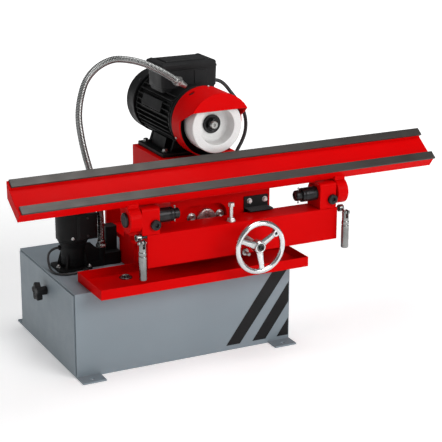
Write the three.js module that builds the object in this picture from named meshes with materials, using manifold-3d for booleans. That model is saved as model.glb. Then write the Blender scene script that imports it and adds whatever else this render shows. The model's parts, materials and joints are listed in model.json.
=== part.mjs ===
// Wet grinding sharpener for long planer knives, in millimetres.
// +X runs along the knife bar, +Y points to the back of the machine, +Z is up.
// The origin is the centre of the base cabinet's underside.
import * as THREE from 'three';
import { mergeVertices } from 'three/addons/utils/BufferGeometryUtils.js';
import Module from 'manifold-3d';

// ---------------------------------------------------------------- driving dimensions
const GAP = 0.3; // clearance between pieces that touch
const SHEET = 2.5; // sheet metal thickness

const BASE = { width: 540, depth: 360, height: 200 };
const SIDE_OPENING = { edge: 18, rail: 16 }; // frame left round the cabinet's open left side
const FOOT = { width: 56, depth: 38, thick: 4, hole: 5, holeOut: 22 };
const TRAY = { x0: -232, x1: 285, y0: -240, y1: -101, lip: 23 };
const DRAIN = { x: -128, y: -132, r: 11 };
const TANK = { x0: -250, x1: 60, y0: -160, y1: 160, z0: 6, z1: 150 };

const BED = { x0: -92, x1: 236, y0: -99, y1: -10, top: 268, shelfY: 75, shelf: 12, wallY: 63, wallTop: 312 };
const RAIL = { y0: -78, y1: -38, height: 13 };
const COLUMN = { x0: 11, x1: 206, y0: 0, y1: 142, top: 435, plate: 12, lap: 25 };

const SPINDLE = { x: 110, z: 525, r: 9.5 };
const MOTOR = { r: 72, fin: 4, bore: 64, front: -14, back: 178, shield: 24, cowl: 54, cowlR: 79 };
const FEET = { half: 88, y0: -12, y1: 136, thick: 9, web: 52, webHalf: 8, webY0: 8, webY1: 128 };
const BEARING = { r: 20, width: 11, frontY: -28 };
const FAN = { hub: 26, y0: 196, y1: 216, blades: 6 };
const WHEEL = { r: 62.5, bore: 42, front: -118, thick: 48, recess: 32, hole: 16 };
const GUARD = { r: 80, wall: 3, front: -131, back: -42, visorZ: 565, cutZ: 537, cutY: -84 };
const INLET = { x: 72, y: -62, r: 7 }; // where the nozzle pours into the guard
const TERMINAL = { x0: 44, x1: 190, y0: 40, y1: 124, z0: 575, z1: 634, wall: 4 };
const LID = { x0: 40, x1: 186, y0: 35, y1: 128, thick: 11, pad: 3 };
const GLAND = { y: 90, z: 584, r: 9, length: 14 };
const BASE_GLAND = { x: 236, y: 90, r: 11, length: 18 };

const PUMP = { x: -203, y: 0, r: 39, neck: 29, bottom: 266, top: 360, glandY: 8, glandZ: 248 };
const CASTING = { x0: -122, x1: -94, y0: -5, y1: 25, top: 285 }; // stands behind the pump's outlet
const OUTLET = { x: -141, y: -20, r: 8.5, top: 246 };
const HOSE_R = 8;
const MOTOR_CABLE_R = 4.5;
const PUMP_CABLE_R = 2.75;

const SADDLE = { x0: -20, x1: 234, y0: -142, y1: -8, z0: 270, z1: 369 };
const WINDOW = { x0: 4, x1: 122, z0: 293, z1: 352, depth: 14, corner: 26 };
const ROLLER = { x: 74, z: 317, r: 23, width: 10 };
const WAY_COVER = { x0: 166, x1: 228, z0: 316, z1: 358, stripY: -173, stripZ: 328 };
const GUIDE = { x: [40, 200], z: 296, r: 11, y1: -24 };

const BEAM = { x0: -111, x1: 373, y0: -218, y1: -158, z0: 249, z1: 325 };
const EAR = { width: 43, left: -123.5, right: 326.5, top: 386 };
const AXIS = { y: -195, z: 360 }; // tilt axis of the knife bar, parallel to X
const SCREW = { x: 134, z: 282, r: 8, collarR: 14, collarY: -150, endY: -90 };
const EAR_SCREW = { across: 10, below: 12.5, r: 11.8, out: 8 }; // its place from the ear's middle
const STOP_BOLT = { x: 102.5, y: -203, height: 43 };
const LOCK_SCREW = { x: 129, up: 4, r: 8, out: 24 };
const HANDWHEEL = { r: 56, rim: 6.5, y: -284, hubR: 15 };

const BAR = { x0: -401, x1: 641, slope: 35, topY: -137, topZ: 468.4, width: 97, under: 42 };
const LAND = { width: 21.5, rise: 3.3 }; // the two strips' seats, and the rise of the face between them
const STRIP = { thick: 4, inset: 5, overhang: 4 };
const ARM = { width: 27, r: 30, left: -152, right: 371.5 };
const TRUNNION = { r: 11, cap: 17, capThick: 5 };
const CLAMP_NUT = { r: 16.5, nose: 12.5, body: 40, length: 55, bar: 46, barR: 1.6, barHalf: 19 };
const LEVER = { y: -213, z: 321, pinY: -236, pinZ: 316, left: -131, right: 384.5, bottom: 231 };
const PANEL_KNOB = { y: -5, z: 153 };

// ---------------------------------------------------------------- materials
function finish(color, roughness, metalness) {
  return () => new THREE.MeshStandardMaterial({ color, roughness, metalness });
}
const RED = finish(0xcc0808, 0.35, 0.1);
const GREY = finish(0x7d8990, 0.45, 0.2);
const BLACK = finish(0x1c1c1e, 0.55, 0.2);
const CHROME = finish(0xc8c8ca, 0.2, 1.0);
const STEEL = finish(0x8c8c8e, 0.4, 0.9);
const STRIP_STEEL = finish(0x54504c, 0.5, 0.7);
const WHITE = finish(0xe8e8e6, 0.9, 0.0);
const RUBBER = finish(0x101012, 0.8, 0.0);

// ---------------------------------------------------------------- solids
const wasm = await Module();
wasm.setup();

function solid(geometry) {
  const bare = geometry.clone();
  bare.deleteAttribute('normal');
  bare.deleteAttribute('uv');
  const merged = mergeVertices(bare);
  const position = merged.getAttribute('position');
  const faces = [];
  for (let i = 0; i < merged.index.count; i += 3) {
    const [a, b, c] = [0, 1, 2].map((k) => merged.index.getX(i + k));
    if (a !== b && b !== c && c !== a) faces.push(a, b, c);
  }
  return new wasm.Manifold(new wasm.Mesh({
    numProp: 3,
    vertProperties: new Float32Array(position.array),
    triVerts: new Uint32Array(faces),
  }));
}

function join(...pieces) {
  return pieces.reduce((sum, piece) => sum.add(piece));
}

// A box from its lowest corner to its highest.
function box(x0, x1, y0, y1, z0, z1) {
  const geometry = new THREE.BoxGeometry(x1 - x0, y1 - y0, z1 - z0);
  geometry.translate((x0 + x1) / 2, (y0 + y1) / 2, (z0 + z1) / 2);
  return solid(geometry);
}

// Turns a shape made along +Y so that it runs along the named axis.
function along(geometry, axis) {
  if (axis === 'x') geometry.rotateZ(-Math.PI / 2);
  if (axis === 'z') geometry.rotateX(Math.PI / 2);
  return geometry;
}

// The place of a round piece: its axis passes through two coordinates and it is centred at "middle".
function placed(geometry, axis, u, v, middle) {
  if (axis === 'x') geometry.translate(middle, u, v);
  if (axis === 'y') geometry.translate(u, middle, v);
  if (axis === 'z') geometry.translate(u, v, middle);
  return geometry;
}

function rod(axis, u, v, radius, from, to, sides = 24, endRadius = radius) {
  const [low, high] = axis === 'z' ? [endRadius, radius] : [radius, endRadius];
  const geometry = new THREE.CylinderGeometry(high, low, to - from, sides);
  return solid(placed(along(geometry, axis), axis, u, v, (from + to) / 2));
}

function tube(axis, u, v, outer, inner, from, to, sides = 24) {
  return rod(axis, u, v, outer, from, to, sides).subtract(rod(axis, u, v, inner, from - 1, to + 1, sides));
}

// A plate cut to an outline of (y, z) points, standing from x0 to x1.
function sidePlate(outline, x0, x1) {
  const shape = new THREE.Shape(outline.map(([y, z]) => new THREE.Vector2(y, z)));
  const geometry = new THREE.ExtrudeGeometry(shape, { depth: x1 - x0, bevelEnabled: false });
  const yzx = new THREE.Matrix4().makeBasis(
    new THREE.Vector3(0, 1, 0),
    new THREE.Vector3(0, 0, 1),
    new THREE.Vector3(1, 0, 0),
  );
  geometry.applyMatrix4(yzx);
  geometry.translate(x0, 0, 0);
  return solid(geometry);
}

function arc(cy, cz, radius, fromDeg, toDeg, steps) {
  const points = [];
  for (let i = 0; i <= steps; i += 1) {
    const angle = THREE.MathUtils.degToRad(fromDeg + ((toDeg - fromDeg) * i) / steps);
    points.push([cy + radius * Math.cos(angle), cz + radius * Math.sin(angle)]);
  }
  return points;
}

// A bent round bar or cable along a smooth curve through the given points.
function bent(points, radius, sides, steps) {
  const curve = new THREE.CatmullRomCurve3(points.map((p) => new THREE.Vector3(...p)));
  const section = new THREE.Shape();
  for (let i = 0; i < sides; i += 1) {
    const angle = (2 * Math.PI * i) / sides;
    const [u, v] = [radius * Math.cos(angle), radius * Math.sin(angle)];
    if (i === 0) section.moveTo(u, v);
    else section.lineTo(u, v);
  }
  return solid(new THREE.ExtrudeGeometry(section, { steps, extrudePath: curve, bevelEnabled: false }));
}

const machine = new THREE.Group();

function add(name, piece, material) {
  const data = piece.getMesh();
  const geometry = new THREE.BufferGeometry();
  geometry.setAttribute('position', new THREE.BufferAttribute(data.vertProperties, 3));
  geometry.setIndex(new THREE.BufferAttribute(data.triVerts, 1));
  geometry.computeVertexNormals();
  const mesh = new THREE.Mesh(geometry, material());
  mesh.name = name;
  machine.add(mesh);
}

// ---------------------------------------------------------------- base, tray and tank
function footTab(sideX, sideY) {
  const [x, y] = [BASE.width / 2, BASE.depth / 2];
  const xs = [sideX * (x - FOOT.width), sideX * x].sort((a, b) => a - b);
  const ys = [sideY * (y - 1), sideY * (y + FOOT.depth)].sort((a, b) => a - b);
  const [holeX, holeY] = [sideX * (x - FOOT.width / 2), sideY * (y + FOOT.holeOut)];
  return box(...xs, ...ys, 0, FOOT.thick).subtract(rod('z', holeX, holeY, FOOT.hole, -1, FOOT.thick + 1, 16));
}

function baseCabinet() {
  const [x, y, h] = [BASE.width / 2, BASE.depth / 2, BASE.height];
  const { edge, rail } = SIDE_OPENING;
  const inside = box(-x + SHEET, x - SHEET, -y + SHEET, y - SHEET, SHEET, h - SHEET);
  const sideOpening = box(-x - 1, -x + SHEET + 1, -y + edge, y - edge, rail, h - rail);
  const pumpHole = rod('z', PUMP.x, PUMP.y, 28, h - 10, h + 10);
  const drainHole = rod('z', DRAIN.x, DRAIN.y, DRAIN.r + 3, h - 10, h + 10);
  const shell = box(-x, x, -y, y, 0, h).subtract(join(inside, sideOpening, pumpHole, drainHole));
  return join(shell, footTab(-1, -1), footTab(1, -1), footTab(-1, 1), footTab(1, 1));
}

function sidePanel() {
  const x1 = -BASE.width / 2 - GAP;
  const half = BASE.depth / 2 - 4;
  const plate = box(x1 - SHEET, x1, -half, half, 6, BASE.height - 4);
  return plate.subtract(rod('x', PANEL_KNOB.y, PANEL_KNOB.z, 5, x1 - 10, x1 + 10, 16));
}

function panelKnob() {
  const { y, z } = PANEL_KNOB;
  const face = -BASE.width / 2 - GAP - SHEET - GAP;
  const [headFrom, headTo] = [face - 29, face - 14];
  let knob = join(
    rod('x', y, z, 10, face - 15, face, 24),
    rod('x', y, z, 18, headFrom, headTo, 24),
    rod('x', y, z, 4, face - 1, face + 16, 16),
  );
  const lobes = 5;
  for (let i = 0; i < lobes; i += 1) {
    const angle = (2 * Math.PI * i) / lobes + Math.PI / 2;
    knob = knob.add(rod('x', y + 16 * Math.cos(angle), z + 16 * Math.sin(angle), 8, headFrom, headTo, 16));
  }
  return knob;
}

function dripTray() {
  const { x0, x1, y0, y1, lip } = TRAY;
  const z0 = BASE.height + GAP;
  const outer = box(x0, x1, y0, y1, z0, z0 + lip);
  const inner = box(x0 + SHEET, x1 - SHEET, y0 + SHEET, y1 - SHEET, z0 + SHEET, z0 + lip + 1);
  return outer.subtract(inner).subtract(rod('z', DRAIN.x, DRAIN.y, DRAIN.r, z0 - 5, z0 + 5, 24));
}

function drainStrainer() {
  const { x, y, r } = DRAIN;
  const z = BASE.height + GAP + SHEET + GAP;
  const stem = rod('z', x, y, r - 1, z - 20, z + 1, 24);
  const dish = rod('z', x, y, r + 4, z, z + 2.5, 24);
  const slots = [-5, 0, 5].map((dx) => box(x + dx - 1, x + dx + 1, y - 6, y + 6, z - 4, z + 4));
  return stem.add(dish).subtract(join(rod('z', x, y, r - 3, z - 30, z - 2, 24), ...slots));
}

function coolantTank() {
  const { x0, x1, y0, y1, z0, z1 } = TANK;
  return box(x0, x1, y0, y1, z0, z1).subtract(box(x0 + 3, x1 - 3, y0 + 3, y1 - 3, z0 + 3, z1 + 1));
}

// ---------------------------------------------------------------- bed and column
function bed() {
  const z0 = BASE.height + GAP;
  const block = box(BED.x0, BED.x1, BED.y0, BED.y1, z0, BED.top);
  const shelf = box(BED.x0, COLUMN.x0 - GAP, BED.y1 - 1, BED.shelfY, BED.top - BED.shelf, BED.top);
  const rail = box(BED.x0, BED.x1, RAIL.y0, RAIL.y1, BED.top - 1, BED.top + RAIL.height);
  const foot = box(BED.x0, BED.x1, BED.y1 - 1, -GAP, z0, z0 + 14);
  const backWall = box(BED.x0, COLUMN.x0 - GAP, BED.wallY, BED.shelfY, BED.top - 1, BED.wallTop);
  return join(block, shelf, rail, foot, backWall);
}

function motorColumn() {
  const { x0, x1, y0, y1, top, plate, lap } = COLUMN;
  const z0 = BASE.height + GAP;
  const post = box(x0, x1, y0, y1, z0, top);
  const hollow = box(x0 + 6, x1 - 6, y0 + 6, y1 + 1, z0 + 12, top - plate);
  const shelf = box(x0, x1, y0 - lap, y1, top - plate, top);
  return post.subtract(hollow).add(shelf);
}

// ---------------------------------------------------------------- motor
function motorHousing() {
  const { x, z } = SPINDLE;
  const { half, y0, y1, thick, web, webHalf, webY0, webY1 } = FEET;
  const drum = rod('y', x, z, MOTOR.r + MOTOR.fin, MOTOR.front, MOTOR.back, 32);
  const foot = box(x - half, x + half, y0, y1, COLUMN.top + GAP, COLUMN.top + thick);
  const webs = [-1, 1].map((side) => {
    const middle = x + side * web;
    return box(middle - webHalf, middle + webHalf, webY0, webY1, COLUMN.top + 2, z - web);
  });
  return join(drum, foot, ...webs).subtract(rod('y', x, z, MOTOR.bore, MOTOR.front - 1, MOTOR.back + 1, 32));
}

function endShield(from, to, lipFrom, lipTo) {
  const { x, z } = SPINDLE;
  const disc = rod('y', x, z, MOTOR.r, from, to, 28);
  const spigot = rod('y', x, z, MOTOR.bore - 0.6, lipFrom, lipTo, 28);
  return disc.add(spigot).subtract(rod('y', x, z, BEARING.r + 0.4, from - 20, to + 20, 24));
}

function bearing(from) {
  return tube('y', SPINDLE.x, SPINDLE.z, BEARING.r, SPINDLE.r + 0.4, from, from + BEARING.width, 24);
}

function fanCowl() {
  const { x, z } = SPINDLE;
  const [y0, y1] = [MOTOR.back + GAP, MOTOR.back + MOTOR.cowl];
  const wall = rod('y', x, z, MOTOR.cowlR, y0, y1 - 8, 28);
  const end = rod('y', x, z, MOTOR.cowlR, y1 - 8, y1, 28, 70);
  let cowl = wall.add(end).subtract(rod('y', x, z, MOTOR.cowlR - 2, y0 - 1, y1 - 8, 28));
  const [openings, pitchR] = [8, 38];
  for (let i = 0; i < openings; i += 1) {
    const angle = (2 * Math.PI * i) / openings;
    const [u, v] = [x + pitchR * Math.cos(angle), z + pitchR * Math.sin(angle)];
    cowl = cowl.subtract(rod('y', u, v, 11, y1 - 20, y1 + 5, 12));
  }
  return cowl;
}

function spindleShaft() {
  const { x, z, r } = SPINDLE;
  const shaft = rod('y', x, z, r, -104, 218, 24);
  const rotor = rod('y', x, z, 34, 20, 140, 24);
  const shoulder = rod('y', x, z, 14, -62, -44, 24);
  return join(shaft, rotor, shoulder);
}

function coolingFan() {
  const { x, z, r } = SPINDLE;
  const { hub, y0, y1, blades } = FAN;
  let fan = tube('y', x, z, hub, r + 0.4, y0, y1, 24);
  for (let i = 0; i < blades; i += 1) {
    const blade = new THREE.BoxGeometry(3, y1 - y0 - 2, 42);
    blade.translate(0, (y0 + y1) / 2, hub + 18);
    blade.rotateY((2 * Math.PI * i) / blades);
    blade.translate(x, 0, z);
    fan = fan.add(solid(blade));
  }
  return fan;
}

function terminalBox() {
  const { x0, x1, y0, y1, z0, z1, wall } = TERMINAL;
  const floor = SPINDLE.z + MOTOR.r + MOTOR.fin + wall;
  const outer = box(x0, x1, y0, y1, z0, z1);
  const inner = box(x0 + wall, x1 - wall, y0 + wall, y1 - wall, floor, z1 + 1);
  const motorSeat = rod('y', SPINDLE.x, SPINDLE.z, MOTOR.r + MOTOR.fin + GAP, y0 - 5, y1 + 5, 32);
  const entry = rod('x', GLAND.y, GLAND.z, 7, x1 - 10, x1 + 5, 16);
  return outer.subtract(join(inner, motorSeat, entry));
}

function terminalLid() {
  const { x0, x1, y0, y1, thick, pad } = LID;
  const z = TERMINAL.z1;
  const cover = box(x0, x1, y0, y1, z + GAP, z + thick);
  return cover.add(box(x0 + 20, x1 - 20, y0 + 20, y1 - 20, z + thick - 1, z + thick + pad));
}

function cableGland() {
  const { y, z, r, length } = GLAND;
  const x = TERMINAL.x1;
  const nut = rod('x', y, z, r, x + GAP, x + length / 2, 6);
  const cap = rod('x', y, z, r - 2, x + length / 2 - 1, x + length, 16, r - 3.5);
  return join(nut, cap, rod('x', y, z, 6, x - 6, x + 1, 16));
}

function baseGland() {
  const { x, y, r, length } = BASE_GLAND;
  const z0 = BASE.height + GAP;
  return rod('z', x, y, r, z0, z0 + 8, 6).add(rod('z', x, y, 7, z0 + 7, z0 + length, 16));
}

// From the terminal box's gland in an arc to the right, and down to the gland in the cabinet's top.
const MOTOR_CABLE = [
  [204.6, 90, 584], [210, 90, 583.6], [217, 90, 581.6], [224, 90, 578], [231, 90, 572.6], [238, 90, 565.5],
  [246, 90, 555.5], [256, 90, 543], [268, 90, 528], [279.5, 90, 511], [288, 90, 492], [292, 90, 470],
  [290, 90, 446], [281, 90, 423], [268, 90, 401], [256, 90, 372], [246, 90, 335], [239, 90, 292],
  [236, 90, 252], [236, 90, 218.8],
];

// ---------------------------------------------------------------- grinding wheel and guard
function innerFlange() {
  return tube('y', SPINDLE.x, SPINDLE.z, 24, SPINDLE.r + 0.4, -70 + GAP, -62 - GAP, 32);
}

function cupWheel() {
  const { x, z } = SPINDLE;
  const { r, bore, front, thick, recess, hole } = WHEEL;
  const disc = rod('y', x, z, r, front, front + thick, 36);
  const cup = rod('y', x, z, bore, front - 1, front + recess, 32);
  return disc.subtract(cup).subtract(rod('y', x, z, hole - 6, front, front + thick + 1, 24));
}

function outerFlange() {
  const back = WHEEL.front + WHEEL.recess - GAP;
  return tube('y', SPINDLE.x, SPINDLE.z, 22, SPINDLE.r + 0.4, back - 5, back, 32);
}

function spindleNut() {
  const back = WHEEL.front + WHEEL.recess - 5 - 2 * GAP;
  const hexagon = rod('y', SPINDLE.x, SPINDLE.z, 14, back - 9, back, 6);
  return hexagon.subtract(rod('y', SPINDLE.x, SPINDLE.z, SPINDLE.r + 0.4, back - 10, back + 1));
}

function wheelGuard() {
  const { x, z } = SPINDLE;
  const { r, wall, front, back, visorZ, cutZ, cutY } = GUARD;
  const inside = rod('y', x, z, r - wall, front - 1, back - wall, 36);
  const drum = rod('y', x, z, r, front, back, 36).subtract(inside);
  const below = z - r - 10;
  const open = [[front - 2, visorZ], [front - 2, below], [cutY, below], [cutY, cutZ]];
  return drum.subtract(join(
    sidePlate(open, x - r - 10, x + r + 10),
    rod('y', x, z, 18, back - 10, back + 10, 24),
    rod('z', INLET.x, INLET.y, INLET.r, z, z + 100, 20),
  ));
}

// The part of a disc that stands above the visor's edge.
function guardVisor() {
  const { x, z } = SPINDLE;
  const y1 = GUARD.front - GAP;
  const disc = rod('y', x, z, GUARD.r, y1 - 2.5, y1, 36);
  return disc.subtract(box(x - 100, x + 100, y1 - 10, y1 + 10, z - 100, GUARD.visorZ));
}

// ---------------------------------------------------------------- coolant pump and hose
function pumpBase() {
  const { x, y, neck, bottom, glandY, glandZ } = PUMP;
  const z0 = BASE.height + GAP;
  const whole = join(
    box(x - 46, x + 36, y - 38, y + 36, z0, z0 + 6), // flange
    rod('z', x, y, neck, z0 + 5, bottom, 32), // throat
    rod('z', x, y, 20, 48, z0 + 1, 24), // stem
    rod('z', x, y, 27, 36, 62, 32), // volute
    box(x + 20, OUTLET.x + 6, OUTLET.y - 6, OUTLET.y + 6, z0, z0 + 14),
    rod('z', OUTLET.x, OUTLET.y, OUTLET.r, z0, OUTLET.top, 24),
    rod('x', glandY, glandZ, 6, x - neck - 4, x - neck + 4, 16),
    box(OUTLET.x, CASTING.x1, OUTLET.y - 6, CASTING.y1, z0, z0 + 30),
    box(CASTING.x0, CASTING.x1, CASTING.y0, CASTING.y1, z0, CASTING.top),
  );
  const chamber = rod('z', x, y, 22, 39, 56, 24);
  const inlet = rod('z', x, y, 9, 30, 42, 20);
  const shaftWay = rod('z', x, y, 6, 50, bottom + 5, 16);
  return whole.subtract(join(chamber, inlet, shaftWay));
}

function pumpMotor() {
  const { x, y, r, bottom, top } = PUMP;
  const body = rod('z', x, y, r, bottom + GAP, top - 12, 28).add(rod('z', x, y, r, top - 12, top, 28, r - 8));
  const jointBox = box(x - 4, x + 46, y - 44, y - 20, bottom + 9, bottom + 69);
  return body.add(jointBox).subtract(rod('z', x, y, 6, bottom - 1, bottom + 44, 16));
}

function pumpRotor() {
  const { x, y } = PUMP;
  let rotor = rod('z', x, y, 4, 44, PUMP.bottom + 35, 16).add(rod('z', x, y, 18, 43, 46, 24));
  const vanes = 4; // each runs right across the impeller
  for (let i = 0; i < vanes; i += 1) {
    const vane = new THREE.BoxGeometry(34, 2.5, 8);
    vane.rotateZ((Math.PI * i) / vanes);
    vane.translate(x, y, 49);
    rotor = rotor.add(solid(vane));
  }
  return rotor;
}

function hoseFitting() {
  const { x, y, top } = OUTLET;
  const nut = rod('z', x, y, 12, top + GAP, top + 10, 6);
  return nut.add(rod('z', x, y, 10, top + 9, top + 17, 24));
}

// From the union nut in a high bow to the left, over to the nozzle above the guard.
const HOSE = [
  [-141, -20, 263.8], [-141, -20, 285], [-141, -20, 312], [-144, -21, 345], [-152, -23, 380],
  [-165, -26, 425], [-178, -29, 470], [-188, -32, 515], [-194, -36, 560], [-190, -40, 605], [-176, -43, 645],
  [-150, -46, 672], [-114, -49, 686], [-75, -51, 682], [-40, -54, 671], [-8, -57, 655],
  [12, -59, 643], [30, -60, 631],
];

// A ferrule, a hexagon and a short blunt spout, one behind the other along the nozzle's heading.
function nozzle() {
  const start = new THREE.Vector3(30.4, -60, 630.8);
  const heading = new THREE.Vector3(18, -0.9, -12).normalize();
  const turn = new THREE.Quaternion().setFromUnitVectors(new THREE.Vector3(0, 1, 0), heading);
  const stages = [
    { from: 0, to: 7, r0: 9, r1: 9, sides: 20 },
    { from: 6.5, to: 15, r0: 11, r1: 11, sides: 6 },
    { from: 14.5, to: 33, r0: 7.5, r1: 5.5, sides: 20 },
  ];
  return join(...stages.map(({ from, to, r0, r1, sides }) => {
    const geometry = new THREE.CylinderGeometry(r1, r0, to - from, sides);
    geometry.translate(0, (from + to) / 2, 0);
    geometry.applyQuaternion(turn);
    geometry.translate(start.x, start.y, start.z);
    return solid(geometry);
  }));
}

// From the gland in the pump's throat, down beside the flange to the elbow in the cabinet's top.
const PUMP_CABLE = [
  [-236.4, 8, 248], [-240.4, 8, 248], [-251.4, 8, 245], [-259.5, 7.5, 237], [-262.4, 6, 226],
  [-262.4, 2.5, 214.5], [-262.4, -5.5, 206.5], [-262.2, -16, 203.3], [-261.8, -28, 203.1],
  [-258.5, -39, 203.1], [-251, -48, 203.1], [-240, -53.5, 203.1], [-226, -55, 203.5],
  [-211, -55, 205.2], [-200.8, -55, 206],
];

function cableElbow() {
  const z0 = BASE.height + GAP;
  return box(-200, -184, -62, -48, z0, z0 + 12); // in front of the pump's flange
}

// ---------------------------------------------------------------- saddle with its guides
function saddle() {
  const { x0, x1, y0, y1, z0, z1 } = SADDLE;
  const { x0: wx0, x1: wx1, z0: wz0, z1: wz1, depth, corner } = WINDOW;
  const [wy0, wy1] = [y0 - 1, y0 + depth];
  const window = join(
    box(wx0, wx1, wy0, wy1, wz0, wz1 - corner),
    box(wx0 + corner, wx1 - corner, wy0, wy1, wz0, wz1),
    rod('y', wx0 + corner, wz1 - corner, corner, wy0, wy1, 32),
    rod('y', wx1 - corner, wz1 - corner, corner, wy0, wy1, 32),
  );
  const groove = box(x0 - 1, x1 + 1, RAIL.y0 - 0.5, RAIL.y1 + 0.5, z0 - 1, BED.top + RAIL.height + 0.5);
  const bores = GUIDE.x.map((x) => rod('y', x, GUIDE.z, GUIDE.r + 0.4, y0 - 1, y1 + 1, 24));
  const screwBore = rod('y', SCREW.x, SCREW.z, SCREW.r + 0.5, y0 - 1, SCREW.endY, 24);
  const apron = box(x0 + 20, x1 - 20, y0, BED.y0 - 5, 244, z0 + 1);
  return box(x0, x1, y0, y1, z0, z1).add(apron).subtract(join(window, groove, ...bores, screwBore));
}

function windowRoller() {
  const back = SADDLE.y0 + WINDOW.depth - GAP;
  return rod('y', ROLLER.x, ROLLER.z, ROLLER.r, back - ROLLER.width, back, 32);
}

function wayCover() {
  const { x0, x1, z0, z1, stripY, stripZ } = WAY_COVER;
  const face = SADDLE.y0 - GAP;
  return box(x0, x1, face - 3, face, z0, z1).add(box(x0 + 2, x1, stripY, face - 2, stripZ, stripZ + 4));
}

// ---------------------------------------------------------------- beam with its ears
function beam() {
  const { x0, x1, y0, y1, z0, z1 } = BEAM;
  const channel = box(x0 + 8, x1 - 8, y0 + 7, y1 - 7, z0 - 1, z1 - 8);
  const screwBlock = box(SCREW.x - 26, SCREW.x + 26, y0 + 1, y1 - 1, z0, z1 - 2);
  const guideBlocks = GUIDE.x.map((x) => box(x - 20, x + 20, y0 + 1, y1 - 1, z0 + 6, z1 - 2));
  const seats = GUIDE.x.map((x) => rod('y', x, GUIDE.z, GUIDE.r + GAP, y0 + 16, y1 + 1, 24));
  const screwWay = rod('y', SCREW.x, SCREW.z, SCREW.r + 0.5, y0 - 1, y1 + 1, 24);
  const solidBeam = join(box(x0, x1, y0, y1, z0, z1).subtract(channel), screwBlock, ...guideBlocks);
  return solidBeam.subtract(join(...seats, screwWay));
}

function guideBar(x) {
  return rod('y', x, GUIDE.z, GUIDE.r, BEAM.y0 + 16 + GAP, GUIDE.y1, 24);
}

function ear(x0) {
  const { y0, y1 } = BEAM;
  const radius = EAR.top - AXIS.z;
  const outline = [
    [y0, BEAM.z1 + GAP],
    [y1, BEAM.z1 + GAP],
    ...arc(y1 - radius, AXIS.z, radius, 0, 90, 8),
    ...arc(y0 + 6, EAR.top - 6, 6, 90, 180, 3),
  ];
  const bore = rod('x', AXIS.y, AXIS.z, TRUNNION.r + 0.4, x0 - 1, x0 + EAR.width + 1, 32);
  const [x, z] = earScrewPlace(x0);
  return sidePlate(outline, x0, x0 + EAR.width).subtract(bore.add(rod('y', x, z, 5.4, y0 - 1, y0 + 14, 16)));
}

function earScrewPlace(earX) {
  return [earX + EAR.width / 2 + EAR_SCREW.across, AXIS.z - EAR_SCREW.below];
}

function earScrew(earX) {
  const [x, z] = earScrewPlace(earX);
  const { r, out } = EAR_SCREW;
  const head = rod('y', x, z, r, BEAM.y0 - out, BEAM.y0 - GAP, 24);
  const socket = rod('y', x, z, 5, BEAM.y0 - out - 1, BEAM.y0 - out / 2, 6);
  return head.subtract(socket).add(rod('y', x, z, 5, BEAM.y0 - 1, BEAM.y0 + 11, 16));
}

function lockScrew() {
  const { x, up, r, out } = LOCK_SCREW;
  const z = BEAM.z0 + up;
  const disc = rod('y', x, z, r, BEAM.y0 - 7, BEAM.y0 - GAP, 20);
  return disc.add(rod('y', x, z, 3.5, BEAM.y0 - out, BEAM.y0 - 6, 16));
}

function stopBolt() {
  const { x, y, height } = STOP_BOLT;
  const z = BEAM.z1 + GAP;
  const nut = rod('z', x, y, 10, z, z + 8, 6);
  const shank = rod('z', x, y, 4.5, z + 7, z + height - 7, 16);
  return join(nut, shank, rod('z', x, y, 8, z + height - 8, z + height, 6));
}

function feedScrew() {
  const { x, z, r, collarR, collarY, endY } = SCREW;
  const thread = rod('y', x, z, r, HANDWHEEL.y - 8, endY - 2, 24);
  return thread.add(rod('y', x, z, collarR, collarY, SADDLE.y0 - GAP, 24));
}

function handwheel() {
  const { x, z } = SCREW;
  const { r, rim, y, hubR } = HANDWHEEL;
  const ring = new THREE.TorusGeometry(r, rim, 8, 32);
  ring.rotateX(Math.PI / 2);
  ring.translate(x, y, z);
  let wheel = solid(ring).add(rod('y', x, z, hubR, y - 4, y + 18, 32));
  for (const degrees of [36, 156, 276]) {
    const spoke = new THREE.BoxGeometry(r - 6, 9, 13);
    spoke.translate(r / 2 + 3, 0, 0);
    spoke.rotateY(-THREE.MathUtils.degToRad(degrees));
    spoke.translate(x, y + 2, z);
    wheel = wheel.add(solid(spoke));
  }
  return wheel.subtract(rod('y', x, z, SCREW.r + 0.4, y - 6, y + 19, 24));
}

// ---------------------------------------------------------------- knife bar
// A point of the bar's section: "down" is measured down its slope from the top edge, "out" squarely off it.
function onSlope(down, out) {
  const angle = THREE.MathUtils.degToRad(BAR.slope);
  const [c, s] = [Math.cos(angle), Math.sin(angle)];
  return [BAR.topY - down * c - out * s, BAR.topZ - down * s + out * c];
}

function knifeBar() {
  const { x0, x1, width, topY, topZ, under } = BAR;
  const { width: land, rise } = LAND;
  const outline = [
    onSlope(0, -STRIP.thick - GAP),
    onSlope(land, -STRIP.thick - GAP),
    onSlope(land, -STRIP.thick - rise),
    onSlope(width - land, -STRIP.thick - rise),
    onSlope(width - land, -STRIP.thick - GAP),
    onSlope(width, -STRIP.thick - GAP),
    onSlope(width - 1, -28.5),
    [topY, topZ - under],
  ];
  let bar = sidePlate(outline, x0, x1);
  for (const x of [ARM.left, ARM.right]) {
    const boss = rod('x', AXIS.y, AXIS.z, ARM.r, x, x + ARM.width, 28);
    const web = sidePlate([[-206, AXIS.z], [-166, AXIS.z], [-150, 424], [-206, 396]], x, x + ARM.width);
    const bore = rod('x', AXIS.y, AXIS.z, TRUNNION.r + 0.4, x - 1, x + ARM.width + 1, 32);
    bar = join(bar, boss, web).subtract(bore);
  }
  const [plateX0, plateX1] = [EAR.left + EAR.width + 2, EAR.right - 2];
  const underPlate = sidePlate([[-196, 387], [-160, 387], [-152, 422], [-190, 400]], plateX0, plateX1);
  return bar.add(underPlate);
}

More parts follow.
